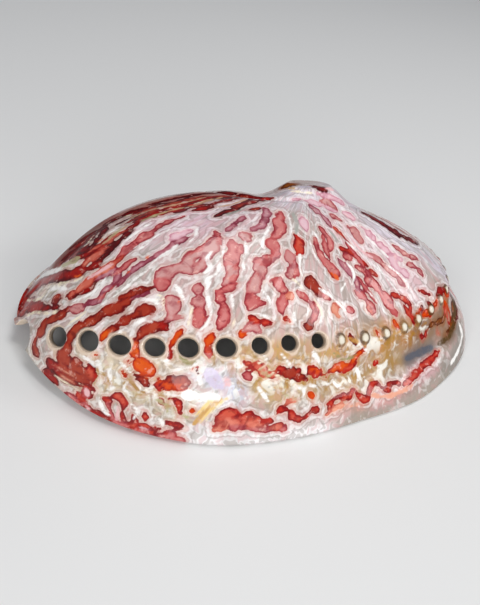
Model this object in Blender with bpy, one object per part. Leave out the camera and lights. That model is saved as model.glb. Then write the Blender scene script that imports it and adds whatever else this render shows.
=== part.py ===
# Polished perlemoen (abalone) shell, lying dome up on its rim.
# +Z is up. -X is the growing end with the open notch, +X the old end.
# -Y is the side with the row of holes, +Y the side of the inner shelf.
# The origin is on the resting plane, under the middle of the outline.
# Lengths are in millimetres until the mesh is made, angles in degrees.

import math

import bmesh
import bpy
import numpy as np
from mathutils import Matrix, Vector

MM = 0.001

# The dome in twelve directions from the middle, every 30 degrees, starting at +X
OUTLINE_RADIUS = (83.3, 82, 69, 61, 63, 77, 85, 76.5, 64, 55, 54.6, 66.8)
RIM_LIFT = (2, 0.5, 0, 1, 4, 6.5, 6.5, 1.5, 0, 0, 0, 0)
CROWN_FULLNESS = (2.6, 2.2, 1.7, 1.7, 2.3, 3.4, 4.3, 3.3, 2.1, 1.4, 1.5, 1.8)
FLANK_STEEPNESS = (1.3, 1.9, 2.2, 2.0, 1.5, 0.95, 0.9, 1.5, 1.8, 1.75, 1.4, 1.1)
FLANK_SWELL = (-4.5, -9, -11, -11, -10, -7, -2, 3, 5, 6, 3, 1)

# The middle of the finished outline, where the origin lies
MIDDLE = Vector((-0.8, 2.3, 0.0))

# The spire: a low cone, longer in X, whose tip is ground off flat and sloping to +Y,
# with a shallow neck round its growing side
SPIRE_X = 16.0
SPIRE_Y = 20.0
DOME_HEIGHT = 49.8
CONE_X = 16.8
CONE_RISE = 5.0
CONE_SPREAD = 8.8
CONE_STRETCH = 1.38
NECK_ARC = (125.0, 185.0)
NECK_DEPTH = 1.8
NECK_RADIUS = 13.0
NECK_HALF_WIDTH = 5.0
GROUND_TOP = 52.0
GROUND_SLOPE = 0.2
FLAT_RADIUS = 8.0

# The wall, the rim it stands on, and the shelf inside the +Y side
WALL = 2.6
RIM_WIDTH = 2.8
SHELF_WIDTH = (3.8, 7, 11, 13, 13, 11, 6, 3.8, 3.8, 3.8, 3.8, 3.8)
SHELF_RISE = 1.6
SHELF_DEPTH = 9.0

# The row of holes as a spiral: share of the way from spire to rim, every 30 degrees
# from the notch at 180 degrees, round the front and the old end, back up to the spire
ROW_START = 180.0
ROW = (0.99, 0.915, 0.843, 0.799, 0.787, 0.774, 0.815, 0.79, 0.74, 0.62, 0.40, 0.24)
ROW_END = 500.0
SPIRAL_FADE = 60.0
KEEL_HEIGHT = 0.8
KEEL_HALF_WIDTH = 3.6
BACK_ARC = (40.0, 165.0)
BACK_KEEL_HEIGHT = 1.5
BACK_KEEL_HALF_WIDTH = 2.2

# Open holes as (direction, length along the row, width across it)
HOLES = ((198.0, 6.0, 6.4), (206.3, 6.2, 6.4), (214.2, 6.6, 6.2), (222.6, 6.0, 5.7),
         (230.8, 6.0, 6.0), (241.1, 5.9, 5.9), (251.8, 4.9, 5.3), (262.8, 4.9, 5.1),
         (276.2, 4.6, 4.9))
HOLE_CUT_LENGTH = 16.0
HOLE_LEAN = (-0.20, -0.78, 0.60)
HOLE_LEAN_SHARE = 0.85
HOLE_SIDES = 18
COLLAR_HEIGHT = 0.5
COLLAR_WIDTH = 1.6

# The open notch where the next hole was forming at the growing edge
NOTCH_DIRECTION = 186.6
NOTCH_SHARE = 0.998
NOTCH_ALONG = 11.0
NOTCH_ACROSS = 11.6
NOTCH_LEAN_SHARE = 0.3

# Closed holes: low knobs that crowd together towards the spire
KNOB_START = 287.5
KNOB_SPACING = 10.8
KNOB_CROWDING = 0.93
KNOB_COUNT = 22
KNOB_SIZE = 0.30
KNOB_HEIGHT = 0.10

# Slanting wavy folds between spire and row, and the lumps of the wall below the row
FOLD_COUNT = 30
FOLD_SWEEP = 16.0
FOLD_WAVER = 4.0
FOLD_HEIGHT = 0.32
FOLD_FULL_AT = 60.0
FOLD_PATCHINESS = 0.35
WALL_FOLD_COUNT = 22
WALL_FOLD_SWEEP = 60.0
WALL_FOLD_WAVER = 3.0
WALL_FOLD_HEIGHT = 0.45

# The groove under the row, the rolled lip, and the seam where the last whorl overlaps
GROOVE_ARC = (290.0, 355.0)
GROOVE_SHARE = 0.89
GROOVE_HALF_WIDTH = 0.05
GROOVE_DEPTH = 1.8
LIP_ARC = (245.0, 375.0)
LIP_SHARE = 0.97
LIP_HALF_WIDTH = 0.04
LIP_HEIGHT = 0.8
ARC_FADE = 30.0
SEAM_START = 24.0
SEAM = (1.0, 0.86, 0.80, 0.70, 0.50, 0.32, 0.22, 0.18, 0.15)
SEAM_DEPTH = 1.6
SEAM_HALF_WIDTH = 1.6

# How finely the shell is divided. The ring RING_OF_ROW follows the row of holes
# through ROW_RING, shares every 30 degrees
RAYS = 120
OUTER_RINGS = (0.035, 0.07, 0.10, 0.128, 0.155, 0.19, 0.24, 0.30, 0.37, 0.44, 0.51,
               0.58, 0.64, 0.70, 0.75, 0.80, 0.84, 0.88, 0.92, 0.96, 1.0)
INNER_RINGS = (0.12, 0.25, 0.40, 0.55, 0.70, 0.82, 0.92, 1.0)
RING_OF_ROW = 0.80
ROW_RING = (0.81, 0.79, 0.76, 0.78, 0.82, 0.88, 0.96, 0.915, 0.84, 0.795, 0.78, 0.77)
EVEN_RING_REACH = 70.0


def between(values, position):
    """A smooth open curve through evenly spaced values, at a position counted in steps."""
    values = np.asarray(values, float)
    last = len(values) - 1
    position = np.clip(position, 0, last - 1e-6)
    i = np.floor(position).astype(int)
    return cubic(values[np.maximum(i - 1, 0)], values[i], values[i + 1],
                 values[np.minimum(i + 2, last)], position - i)


def around(values, direction):
    """A smooth closed curve through values spaced evenly round the circle."""
    values = np.asarray(values, float)
    count = len(values)
    position = np.mod(direction, 360.0) / 360.0 * count
    i = np.floor(position).astype(int) % count
    return cubic(values[i - 1], values[i], values[(i + 1) % count],
                 values[(i + 2) % count], position - np.floor(position))


def cubic(before, start, end, after, t):
    return 0.5 * (2 * start + (end - before) * t
                  + (2 * before - 5 * start + 4 * end - after) * t ** 2
                  + (3 * start - before - 3 * end + after) * t ** 3)


def step_up(low, high, value):
    """0 below low, 1 above high, and smooth between them."""
    t = np.clip((value - low) / (high - low), 0, 1)
    return t * t * (3 - 2 * t)


def bump(distance, half_width):
    return np.exp(-(distance / half_width) ** 2)


def arc_mask(direction, arc):
    """1 inside an arc of directions given by its two ends, fading to 0 outside it."""
    middle = 0.5 * (arc[0] + arc[1])
    half = 0.5 * (arc[1] - arc[0])
    off = np.abs(np.mod(direction - middle + 180.0, 360.0) - 180.0)
    return 1 - step_up(half, half + ARC_FADE, off)


def outline(direction):
    radius = around(OUTLINE_RADIUS, direction)
    turn = np.radians(direction)
    return radius * np.cos(turn), radius * np.sin(turn)


def reach(direction):
    """Distance in plan from the spire to the rim."""
    x, y = outline(direction)
    return np.hypot(x - SPIRE_X, y - SPIRE_Y)


def from_spire(x, y):
    """Distance in plan from the spire, measured on its own oval."""
    return np.hypot((x - CONE_X) / CONE_STRETCH, y - SPIRE_Y)


def rim_lift(direction):
    return np.maximum(around(RIM_LIFT, direction), 0)


def dome(direction, share, cone=1.0):
    """A point of the plain dome: share runs from 0 at the spire to 1 at the rim."""
    rim_x, rim_y = outline(direction)
    x = SPIRE_X + (rim_x - SPIRE_X) * share
    y = SPIRE_Y + (rim_y - SPIRE_Y) * share
    crown = np.maximum(1 - share ** around(CROWN_FULLNESS, direction), 0)
    away = from_spire(x, y)
    neck = arc_mask(direction, NECK_ARC) * bump(away - NECK_RADIUS, NECK_HALF_WIDTH)
    z = (DOME_HEIGHT * crown ** (1 / around(FLANK_STEEPNESS, direction))
         + rim_lift(direction) * share
         + around(FLANK_SWELL, direction) * 4 * share * (1 - share)
         + cone * (CONE_RISE * np.exp(-(away / CONE_SPREAD) ** 3) - NECK_DEPTH * neck))
    return np.stack([x, y, z], -1)


def dome_normal(direction, share, cone=1.0):
    """Outward direction of the dome, turning level at the rim."""
    share = np.clip(share, 0.02, 0.985)
    small = 0.01
    along = dome(direction, share + small, cone) - dome(direction, share - small, cone)
    across = dome(direction + 1, share, cone) - dome(direction - 1, share, cone)
    normal = np.cross(along, across)
    return normal / np.linalg.norm(normal, axis=-1, keepdims=True)


def rim_normal(direction):
    """Level outward direction of the outline."""
    ahead = np.stack(outline(direction + 1), -1)
    behind = np.stack(outline(direction - 1), -1)
    tangent = ahead - behind
    normal = np.stack([tangent[..., 1], -tangent[..., 0], np.zeros_like(tangent[..., 0])], -1)
    return normal / np.linalg.norm(normal, axis=-1, keepdims=True)


def row_share(turned):
    """Place of the row for a direction counted on from the notch past 360 degrees."""
    return between(ROW, (turned - ROW_START) / 30.0)


def seam_share(turned):
    return between(SEAM, (turned - SEAM_START) / 30.0)


def ridge_on_spiral(direction, share, spiral, start, end, half_width):
    """1 on the crest of a ridge along a spiral, which dies away over its last part."""
    height = np.zeros(np.broadcast(direction, share).shape)
    for turn in (0.0, 360.0, 720.0):
        turned = np.mod(direction, 360.0) + turn
        gap = np.abs(share - spiral(turned)) * reach(direction)
        exists = (turned >= start) * (1 - step_up(end - SPIRAL_FADE, end, turned))
        height = np.maximum(height, exists * bump(gap, half_width))
    return height


def row_line():
    """Directions along the row from the notch to the spire, and the distance run so far."""
    turned = np.arange(ROW_START, ROW_END, 0.5)
    places = dome(turned, row_share(turned))
    steps = np.linalg.norm(np.diff(places, axis=0), axis=1)
    return turned, np.concatenate([[0.0], np.cumsum(steps)])


def knobs():
    """Closed holes as (direction, share, spacing to the next), from the last hole inwards."""
    turned, run = row_line()
    place = float(np.interp(KNOB_START, turned, run))
    spacing = KNOB_SPACING
    found = []
    for _ in range(KNOB_COUNT):
        direction = float(np.interp(place, run, turned))
        found.append((direction, float(row_share(direction)), spacing))
        place += spacing
        spacing *= KNOB_CROWDING
    return found


def folds(direction, share):
    """Height of the slanting folds above the row and of the lumps of the wall below it."""
    row = around(ROW_RING, direction)
    turn = np.radians(direction)
    above = step_up(0.18, 0.45, share) * (1 - step_up(-0.10, -0.02, share - row))
    below = step_up(0.02, 0.07, share - row) * (1 - step_up(0.90, 0.98, share))
    slant = direction + FOLD_SWEEP * (1 - share) + FOLD_WAVER * np.sin(9 * share + 3 * turn)
    size = 1 - FOLD_PATCHINESS + FOLD_PATCHINESS * np.sin(5 * turn + 7 * share)
    size = size * np.minimum(share * reach(direction) / FOLD_FULL_AT, 1)
    wall_slant = direction + WALL_FOLD_SWEEP * share + WALL_FOLD_WAVER * np.sin(7 * turn)
    return (FOLD_HEIGHT * size * above * np.sin(np.radians(slant) * FOLD_COUNT)
            + WALL_FOLD_HEIGHT * below * np.sin(np.radians(wall_slant) * WALL_FOLD_COUNT))


def scars(direction, share):
    """Height of the collars round the open holes and of the knobs of the closed ones."""
    place = dome(direction, share)
    height = np.zeros(place.shape[:-1])
    for hole_direction, length, width in HOLES:
        centre = dome(hole_direction, row_share(hole_direction))
        gap = np.linalg.norm(place - centre, axis=-1)
        height = height + COLLAR_HEIGHT * bump(gap - 0.25 * (length + width), COLLAR_WIDTH)
    for knob_direction, knob_share, spacing in knobs():
        gap = np.linalg.norm(place - dome(knob_direction, knob_share), axis=-1)
        height = height + KNOB_HEIGHT * spacing * bump(gap, KNOB_SIZE * spacing)
    return height


def relief(direction, share):
    """Height of all the carving on the outside, in millimetres along the dome's normal."""
    back = arc_mask(direction, BACK_ARC)
    keel_height = KEEL_HEIGHT + (BACK_KEEL_HEIGHT - KEEL_HEIGHT) * back
    keel_half_width = KEEL_HALF_WIDTH + (BACK_KEEL_HALF_WIDTH - KEEL_HALF_WIDTH) * back
    keel = ridge_on_spiral(direction, share, row_share, ROW_START, ROW_END, keel_half_width)
    seam_end = SEAM_START + 30.0 * (len(SEAM) - 1)
    seam = ridge_on_spiral(direction, share, seam_share, SEAM_START, seam_end, SEAM_HALF_WIDTH)
    groove = arc_mask(direction, GROOVE_ARC) * bump(share - GROOVE_SHARE, GROOVE_HALF_WIDTH)
    lip = arc_mask(direction, LIP_ARC) * bump(share - LIP_SHARE, LIP_HALF_WIDTH)
    return (folds(direction, share) * (1 - 0.5 * back) + scars(direction, share)
            + keel_height * keel - SEAM_DEPTH * seam - GROOVE_DEPTH * groove + LIP_HEIGHT * lip)


def ring_share(direction, ring):
    """Share reached by a ring of the mesh: a circle near the spire, the row's own line
    at RING_OF_ROW and the outline at 1."""
    row = around(ROW_RING, direction)
    share = np.where(ring < RING_OF_ROW, ring * row / RING_OF_ROW,
                     row + (ring - RING_OF_ROW) * (1 - row) / (1 - RING_OF_ROW))
    even = ring * EVEN_RING_REACH / reach(direction)
    far = step_up(0.0, 0.40, ring)
    return even * (1 - far) + share * far


def outer_surface(direction, share):
    place = dome(direction, share)
    ground = GROUND_TOP - GROUND_SLOPE * (place[..., 1] - SPIRE_Y)
    on_flat = bump(from_spire(place[..., 0], place[..., 1]), FLAT_RADIUS)[..., None]
    place[..., 2] = np.minimum(place[..., 2], ground)
    to_rim = step_up(0.93, 1.0, share)[..., None]
    normal = dome_normal(direction, share) * (1 - to_rim) + rim_normal(direction) * to_rim
    lifted = place + normal * relief(direction, share)[..., None] * (1 - on_flat)
    lifted[..., 2] = np.maximum(lifted[..., 2], 0)
    lifted[..., 2] = np.where(share >= 1, rim_lift(direction), lifted[..., 2])
    return lifted


def inner_surface(direction, share):
    """The nacre face: the dome less the wall, pulled inwards over the shelf."""
    place = dome(direction, share, cone=0.5)
    to_rim = step_up(0.90, 1.0, share)[..., None]
    level = rim_normal(direction)
    normal = dome_normal(direction, share, cone=0.5) * (1 - to_rim) + level * to_rim
    inside = place - normal * WALL
    height = np.maximum(inside[..., 2] - rim_lift(direction), 0)
    pull = (around(SHELF_WIDTH, direction) - WALL) * bump(height, SHELF_DEPTH)
    inside = inside - level * pull[..., None]
    inside[..., 2] += SHELF_RISE * step_up(0.90, 1.0, share)
    return inside


def rim_edge(direction):
    """Inner edge of the flat rim that the shell stands on."""
    x, y = outline(direction)
    edge = np.stack([x, y, rim_lift(direction)], -1)
    return edge - rim_normal(direction) * RIM_WIDTH


def add_ring(shell, points):
    return [shell.verts.new((Vector(point) - MIDDLE) * MM) for point in points]


def join_rings(shell, upper, lower):
    for i, corner in enumerate(upper):
        after = (i + 1) % len(upper)
        shell.faces.new((corner, lower[i], lower[after], upper[after]))


def close_pole(shell, point, ring, outward):
    pole = shell.verts.new((Vector(point) - MIDDLE) * MM)
    for i, corner in enumerate(ring):
        after = ring[(i + 1) % len(ring)]
        shell.faces.new((pole, corner, after) if outward else (pole, after, corner))


def build_wall():
    """The closed wall of the shell before its holes: outside, rim, shelf and inside."""
    directions = np.arange(RAYS) * 360.0 / RAYS
    shell = bmesh.new()
    rings = []
    for ring in OUTER_RINGS:
        share = ring_share(directions, ring)
        rings.append(add_ring(shell, outer_surface(directions, share)))
    rings.append(add_ring(shell, rim_edge(directions)))
    for ring in reversed(INNER_RINGS):
        share = ring_share(directions, ring)
        rings.append(add_ring(shell, inner_surface(directions, share)))
    for upper, lower in zip(rings, rings[1:]):
        join_rings(shell, upper, lower)
    top = (SPIRE_X, SPIRE_Y, GROUND_TOP)
    ceiling = dome(0.0, 0.0, cone=0.5) - np.array((0, 0, WALL))
    close_pole(shell, top, rings[0], outward=True)
    close_pole(shell, ceiling, rings[-1], outward=False)
    return shell


def hole_frame(direction, share, lean_share):
    """Axes of a hole: along the row, across it, and out of the shell. The holes lean
    from the surface's own normal towards the front."""
    centre = dome(direction, share)
    normal = Vector(dome_normal(np.array(direction), np.array(share)))
    out = normal.lerp(Vector(HOLE_LEAN).normalized(), lean_share).normalized()
    ahead = Vector(dome(direction + 2, row_share(direction + 2)) - centre)
    along = (ahead - out * ahead.dot(out)).normalized()
    return Vector(centre), along, out.cross(along), out


def add_hole_cutter(cutter, direction, share, length, width, lean_share):
    centre, along, across, out = hole_frame(direction, share, lean_share)
    axes = Matrix((along * length / 2, across * width / 2, out * HOLE_CUT_LENGTH)).transposed()
    place = Matrix.Translation((centre - MIDDLE) * MM) @ axes.to_4x4() @ Matrix.Scale(MM, 4)
    bmesh.ops.create_cone(cutter, cap_ends=True, segments=HOLE_SIDES, radius1=1.0, radius2=1.0,
                          depth=1.0, matrix=place)


def build_hole_cutter():
    cutter = bmesh.new()
    for direction, length, width in HOLES:
        share = float(row_share(direction))
        add_hole_cutter(cutter, direction, share, length, width, HOLE_LEAN_SHARE)
    add_hole_cutter(cutter, NOTCH_DIRECTION, NOTCH_SHARE, NOTCH_ALONG, NOTCH_ACROSS,
                    NOTCH_LEAN_SHARE)
    return cutter


def polished_shell_material():
    material = bpy.data.materials.new("polished_shell")
    material.use_nodes = True
    surface = material.node_tree.nodes["Principled BSDF"]
    surface.inputs["Base Color"].default_value = (0.62, 0.30, 0.24, 1.0)
    surface.inputs["Roughness"].default_value = 0.18
    surface.inputs["Metallic"].default_value = 0.0
    surface.inputs["Coat Weight"].default_value = 0.6
    return material


def to_object(name, mesh_data):
    bmesh.ops.recalc_face_normals(mesh_data, faces=mesh_data.faces)
    mesh = bpy.data.meshes.new(name)
    mesh_data.to_mesh(mesh)
    mesh_data.free()
    made = bpy.data.objects.new(name, mesh)
    bpy.context.scene.collection.objects.link(made)
    return made


def build_shell():
    shell = to_object("shell", build_wall())
    shell.data.materials.append(polished_shell_material())
    shell.data.shade_smooth()
    shell.data.set_sharp_from_angle(angle=math.radians(40))
    cutter = to_object("hole_cutter", build_hole_cutter())
    cutter.hide_render = True
    cutter.display_type = "WIRE"
    holes = shell.modifiers.new("holes", "BOOLEAN")
    holes.object = cutter
    holes.operation = "DIFFERENCE"
    holes.solver = "EXACT"
    return shell


for old in list(bpy.data.objects):
    bpy.data.objects.remove(old, do_unlink=True)
build_shell()
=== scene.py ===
import math
import random

import bpy
import numpy as np
from mathutils import Matrix, Vector


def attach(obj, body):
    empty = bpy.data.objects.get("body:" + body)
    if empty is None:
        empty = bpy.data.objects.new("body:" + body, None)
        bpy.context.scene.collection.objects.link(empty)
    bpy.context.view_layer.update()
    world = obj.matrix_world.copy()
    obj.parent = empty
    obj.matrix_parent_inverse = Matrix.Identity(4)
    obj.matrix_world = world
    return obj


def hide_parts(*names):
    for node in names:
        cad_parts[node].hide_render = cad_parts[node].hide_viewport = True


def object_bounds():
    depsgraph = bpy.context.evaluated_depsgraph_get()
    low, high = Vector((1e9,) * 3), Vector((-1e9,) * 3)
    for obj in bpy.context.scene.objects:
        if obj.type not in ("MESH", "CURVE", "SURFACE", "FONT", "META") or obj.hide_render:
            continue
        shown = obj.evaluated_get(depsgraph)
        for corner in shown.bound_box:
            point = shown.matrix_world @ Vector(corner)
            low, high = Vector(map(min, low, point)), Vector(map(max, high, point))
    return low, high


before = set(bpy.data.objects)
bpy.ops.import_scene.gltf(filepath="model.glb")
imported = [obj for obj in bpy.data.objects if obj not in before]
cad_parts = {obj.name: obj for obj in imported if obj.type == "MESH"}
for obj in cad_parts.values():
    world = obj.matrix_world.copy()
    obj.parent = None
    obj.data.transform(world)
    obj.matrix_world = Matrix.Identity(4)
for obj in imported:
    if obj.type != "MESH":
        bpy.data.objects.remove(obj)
cad_low, cad_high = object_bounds()


# Camera
# It stands where the photograph was taken from: a little left of the front, looking down.
CAMERA_PLACE = Vector((-0.0810, -0.2376, 0.1848))
CAMERA_AZIMUTH = 17.43
CAMERA_ELEVATION = 34.77
CAMERA_ROLL = 10.36
CAMERA_LENS = 50.0
IMAGE_SIZE = (480, 605)

camera_data = bpy.data.cameras.new("camera")
camera_data.sensor_width = 36.0
camera_data.lens = CAMERA_LENS
camera_data.clip_start = 0.01
camera = bpy.data.objects.new("camera", camera_data)
bpy.context.scene.collection.objects.link(camera)
camera.matrix_world = (
    Matrix.Translation(CAMERA_PLACE)
    @ Matrix.Rotation(math.radians(-CAMERA_AZIMUTH), 4, "Z")
    @ Matrix.Rotation(math.radians(90 - CAMERA_ELEVATION), 4, "X")
    @ Matrix.Rotation(math.radians(CAMERA_ROLL), 4, "Z")
)
bpy.context.scene.camera = camera


# The shell's wall
# One grown wall of nacre under a thin coloured layer, ground and polished. It is a fine
# sheet of faces rolled up: its first rings become the outside, the next the rim that the
# shell stands on, and the last the inside.
MM = 0.001
MIDDLE = np.array((-0.8, 2.3, 0.0))

# Lengths are in millimetres and directions in degrees. A share runs from 0 at the spire to
# 1 at the rim. Twelve values go round the shell every 30 degrees from +X.
OUTLINE_RADIUS = (83.3, 82, 69, 61, 63, 77, 85, 76.5, 64, 55, 54.6, 66.8)
RIM_LIFT = (2, 0.5, 0, 1, 4, 6.5, 6.5, 1.5, 0, 0, 0, 0)
CROWN_FULLNESS = (2.6, 2.2, 1.7, 1.7, 2.3, 3.4, 4.3, 3.3, 2.1, 1.4, 1.5, 1.8)
FLANK_STEEPNESS = (1.3, 1.9, 2.2, 2.0, 1.5, 0.95, 0.9, 1.5, 1.8, 1.75, 1.4, 1.1)
FLANK_SWELL = (-4.5, -9, -11, -11, -10, -7, -2, 3, 5, 6, 3, 1)
SPIRE = np.array((16.0, 20.0))
DOME_HEIGHT = 49.8
CONE_X = 16.8
CONE_RISE = 5.0
CONE_SPREAD = 8.8
CONE_STRETCH = 1.38
NECK_ARC = (125.0, 185.0)
NECK_DEPTH = 1.8
NECK_RADIUS = 13.0
NECK_HALF_WIDTH = 5.0
GROUND_TOP = 52.0
GROUND_SLOPE = 0.2
FLAT_RADIUS = 8.0

WALL = 2.6
RIM_WIDTH = 2.8
RIM_ROUND = 0.7
SHELF_WIDTH = (3.8, 7, 11, 13, 13, 11, 6, 3.8, 3.8, 3.8, 3.8, 3.8)
SHELF_RISE = 1.6
SHELF_DEPTH = 9.0

# The row's spiral: its share every 30 degrees from the notch, round the front and back up
ROW_START = 180.0
ROW = (0.99, 0.915, 0.843, 0.799, 0.787, 0.774, 0.815, 0.79, 0.74, 0.62, 0.40, 0.24)
ROW_END = 500.0
SPIRAL_FADE = 60.0
KEEL_HEIGHT = 0.8
KEEL_HALF_WIDTH = 3.6
BACK_ARC = (40.0, 165.0)
BACK_KEEL_HEIGHT = 1.5
BACK_KEEL_HALF_WIDTH = 2.2
COLLAR_HEIGHT = 0.55
COLLAR_WIDTH = 1.5
KNOB_START = 287.5
KNOB_SPACING = 10.8
KNOB_CROWDING = 0.93
KNOB_COUNT = 22
KNOB_LARGEST = 8.0
# height, radius and half width of the knob and of the two rings round it, by its size
KNOB_RINGS = ((0.11, 0.0, 0.24), (-0.05, 0.40, 0.10), (0.03, 0.62, 0.14))
FOLD_COUNT = 30
FOLD_SWEEP = 16.0
FOLD_WAVER = 4.0
FOLD_HEIGHT = 0.26
FOLD_FULL_AT = 60.0
FOLD_PATCHINESS = 0.35
FOLDS_BEGIN = (0.18, 0.45)
FOLDS_END = (-0.10, -0.02)
WALL_FOLD_COUNT = 22
WALL_FOLD_SWEEP = 60.0
WALL_FOLD_WAVER = 3.0
WALL_FOLD_HEIGHT = 0.35
WALL_FOLDS_BEGIN = (0.02, 0.07)
WALL_FOLDS_END = (0.90, 0.98)
GROOVE_ARC = (290.0, 355.0)
GROOVE_SHARE = 0.89
GROOVE_HALF_WIDTH = 0.05
GROOVE_DEPTH = 1.8
LIP_ARC = (245.0, 375.0)
LIP_SHARE = 0.97
LIP_HALF_WIDTH = 0.04
LIP_HEIGHT = 0.8
ARC_FADE = 30.0
# The seam of the last whorl, written like the row
SEAM_START = 24.0
SEAM = (1.0, 0.86, 0.80, 0.70, 0.50, 0.32, 0.22, 0.18, 0.15)
SEAM_DEPTH = 1.6
SEAM_HALF_WIDTH = 1.6
ROW_RING = (0.81, 0.79, 0.76, 0.78, 0.82, 0.88, 0.96, 0.915, 0.84, 0.795, 0.78, 0.77)
RING_OF_ROW = 0.80
EVEN_RING_REACH = 70.0
EVEN_RINGS_END = 0.40
RIM_CROWDING = 1.5
RIM_TURN = 0.93
RIM_SETTLE = 0.90

# The sheet's faces, closer together at the front
SEGMENTS = 500
OUTER_RINGS = 146
RIM_RINGS = 5
INNER_RINGS = 36
FRONT = 250.0
FRONT_CROWDING = 0.4

# Each open hole's direction, its length along the row and its width across it
HOLES = ((198.0, 6.0, 6.4), (206.3, 6.2, 6.4), (214.2, 6.6, 6.2), (222.6, 6.0, 5.7),
         (230.8, 6.0, 6.0), (241.1, 5.9, 5.9), (251.8, 4.9, 5.3), (262.8, 4.9, 5.1),
         (276.2, 4.6, 4.9))


def cubic(before, start, end, after, t):
    return 0.5 * (2 * start + (end - before) * t
                  + (2 * before - 5 * start + 4 * end - after) * t ** 2
                  + (3 * start - before - 3 * end + after) * t ** 3)


def between(values, position):
    """A smooth open curve through evenly spaced values, at a position counted in steps."""
    values = np.asarray(values, float)
    last = len(values) - 1
    position = np.clip(position, 0, last - 1e-6)
    i = np.floor(position).astype(int)
    return cubic(values[np.maximum(i - 1, 0)], values[i], values[i + 1],
                 values[np.minimum(i + 2, last)], position - i)


def around(values, direction):
    """A smooth closed curve through values spaced evenly round the circle."""
    values = np.asarray(values, float)
    count = len(values)
    position = np.mod(direction, 360.0) / 360.0 * count
    i = np.floor(position).astype(int) % count
    return cubic(values[i - 1], values[i], values[(i + 1) % count],
                 values[(i + 2) % count], position - np.floor(position))


def step_up(low, high, value):
    t = np.clip((value - low) / (high - low), 0, 1)
    return t * t * (3 - 2 * t)


def bump(distance, half_width):
    return np.exp(-(distance / half_width) ** 2)


def arc_mask(direction, arc):
    middle = 0.5 * (arc[0] + arc[1])
    half = 0.5 * (arc[1] - arc[0])
    off = np.abs(np.mod(direction - middle + 180.0, 360.0) - 180.0)
    return 1 - step_up(half, half + ARC_FADE, off)


def outline(direction):
    radius = around(OUTLINE_RADIUS, direction)
    turn = np.radians(direction)
    return radius * np.cos(turn), radius * np.sin(turn)


def reach(direction):
    x, y = outline(direction)
    return np.hypot(x - SPIRE[0], y - SPIRE[1])


def from_spire(x, y):
    return np.hypot((x - CONE_X) / CONE_STRETCH, y - SPIRE[1])


def rim_lift(direction):
    return np.maximum(around(RIM_LIFT, direction), 0)


def dome(direction, share, cone=1.0):
    """A point of the plain dome: share runs from 0 at the spire to 1 at the rim."""
    rim_x, rim_y = outline(direction)
    x = SPIRE[0] + (rim_x - SPIRE[0]) * share
    y = SPIRE[1] + (rim_y - SPIRE[1]) * share
    crown = np.maximum(1 - share ** around(CROWN_FULLNESS, direction), 0)
    away = from_spire(x, y)
    neck = arc_mask(direction, NECK_ARC) * bump(away - NECK_RADIUS, NECK_HALF_WIDTH)
    z = (DOME_HEIGHT * crown ** (1 / around(FLANK_STEEPNESS, direction))
         + rim_lift(direction) * share
         + around(FLANK_SWELL, direction) * 4 * share * (1 - share)
         + cone * (CONE_RISE * np.exp(-(away / CONE_SPREAD) ** 3) - NECK_DEPTH * neck))
    return np.stack([x, y, z], -1)


def dome_normal(direction, share, cone=1.0):
    share = np.clip(share, 0.02, 0.985)
    small = 0.01
    along = dome(direction, share + small, cone) - dome(direction, share - small, cone)
    across = dome(direction + 1, share, cone) - dome(direction - 1, share, cone)
    normal = np.cross(along, across)
    return normal / np.linalg.norm(normal, axis=-1, keepdims=True)


def rim_normal(direction):
    ahead = np.stack(outline(direction + 1), -1)
    behind = np.stack(outline(direction - 1), -1)
    tangent = ahead - behind
    normal = np.stack([tangent[..., 1], -tangent[..., 0], np.zeros_like(tangent[..., 0])], -1)
    return normal / np.linalg.norm(normal, axis=-1, keepdims=True)


def row_share(turned):
    return between(ROW, (turned - ROW_START) / 30.0)


def seam_share(turned):
    return between(SEAM, (turned - SEAM_START) / 30.0)


def ridge_on_spiral(direction, share, spiral, start, end, half_width):
    height = np.zeros(np.broadcast(direction, share).shape)
    for turn in (0.0, 360.0, 720.0):
        turned = np.mod(direction, 360.0) + turn
        gap = np.abs(share - spiral(turned)) * reach(direction)
        exists = (turned >= start) * (1 - step_up(end - SPIRAL_FADE, end, turned))
        height = np.maximum(height, exists * bump(gap, half_width))
    return height


def knobs():
    """Closed holes as (direction, share, spacing), crowding together towards the spire."""
    turned = np.arange(ROW_START, ROW_END, 0.5)
    places = dome(turned, row_share(turned))
    steps = np.linalg.norm(np.diff(places, axis=0), axis=1)
    run = np.concatenate([[0.0], np.cumsum(steps)])
    place = float(np.interp(KNOB_START, turned, run))
    spacing = KNOB_SPACING
    found = []
    for _ in range(KNOB_COUNT):
        direction = float(np.interp(place, run, turned))
        found.append((direction, float(row_share(direction)), spacing))
        place += spacing
        spacing *= KNOB_CROWDING
    return found


KNOBS = knobs()


def folds(direction, share):
    row = around(ROW_RING, direction)
    turn = np.radians(direction)
    above = step_up(*FOLDS_BEGIN, share) * (1 - step_up(*FOLDS_END, share - row))
    below = step_up(*WALL_FOLDS_BEGIN, share - row) * (1 - step_up(*WALL_FOLDS_END, share))
    slant = direction + FOLD_SWEEP * (1 - share) + FOLD_WAVER * np.sin(9 * share + 3 * turn)
    size = 1 - FOLD_PATCHINESS + FOLD_PATCHINESS * np.sin(5 * turn + 7 * share)
    size = size * np.minimum(share * reach(direction) / FOLD_FULL_AT, 1)
    wall_slant = direction + WALL_FOLD_SWEEP * share + WALL_FOLD_WAVER * np.sin(7 * turn)
    return (FOLD_HEIGHT * size * above * np.sin(np.radians(slant) * FOLD_COUNT)
            + WALL_FOLD_HEIGHT * below * np.sin(np.radians(wall_slant) * WALL_FOLD_COUNT))


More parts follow.
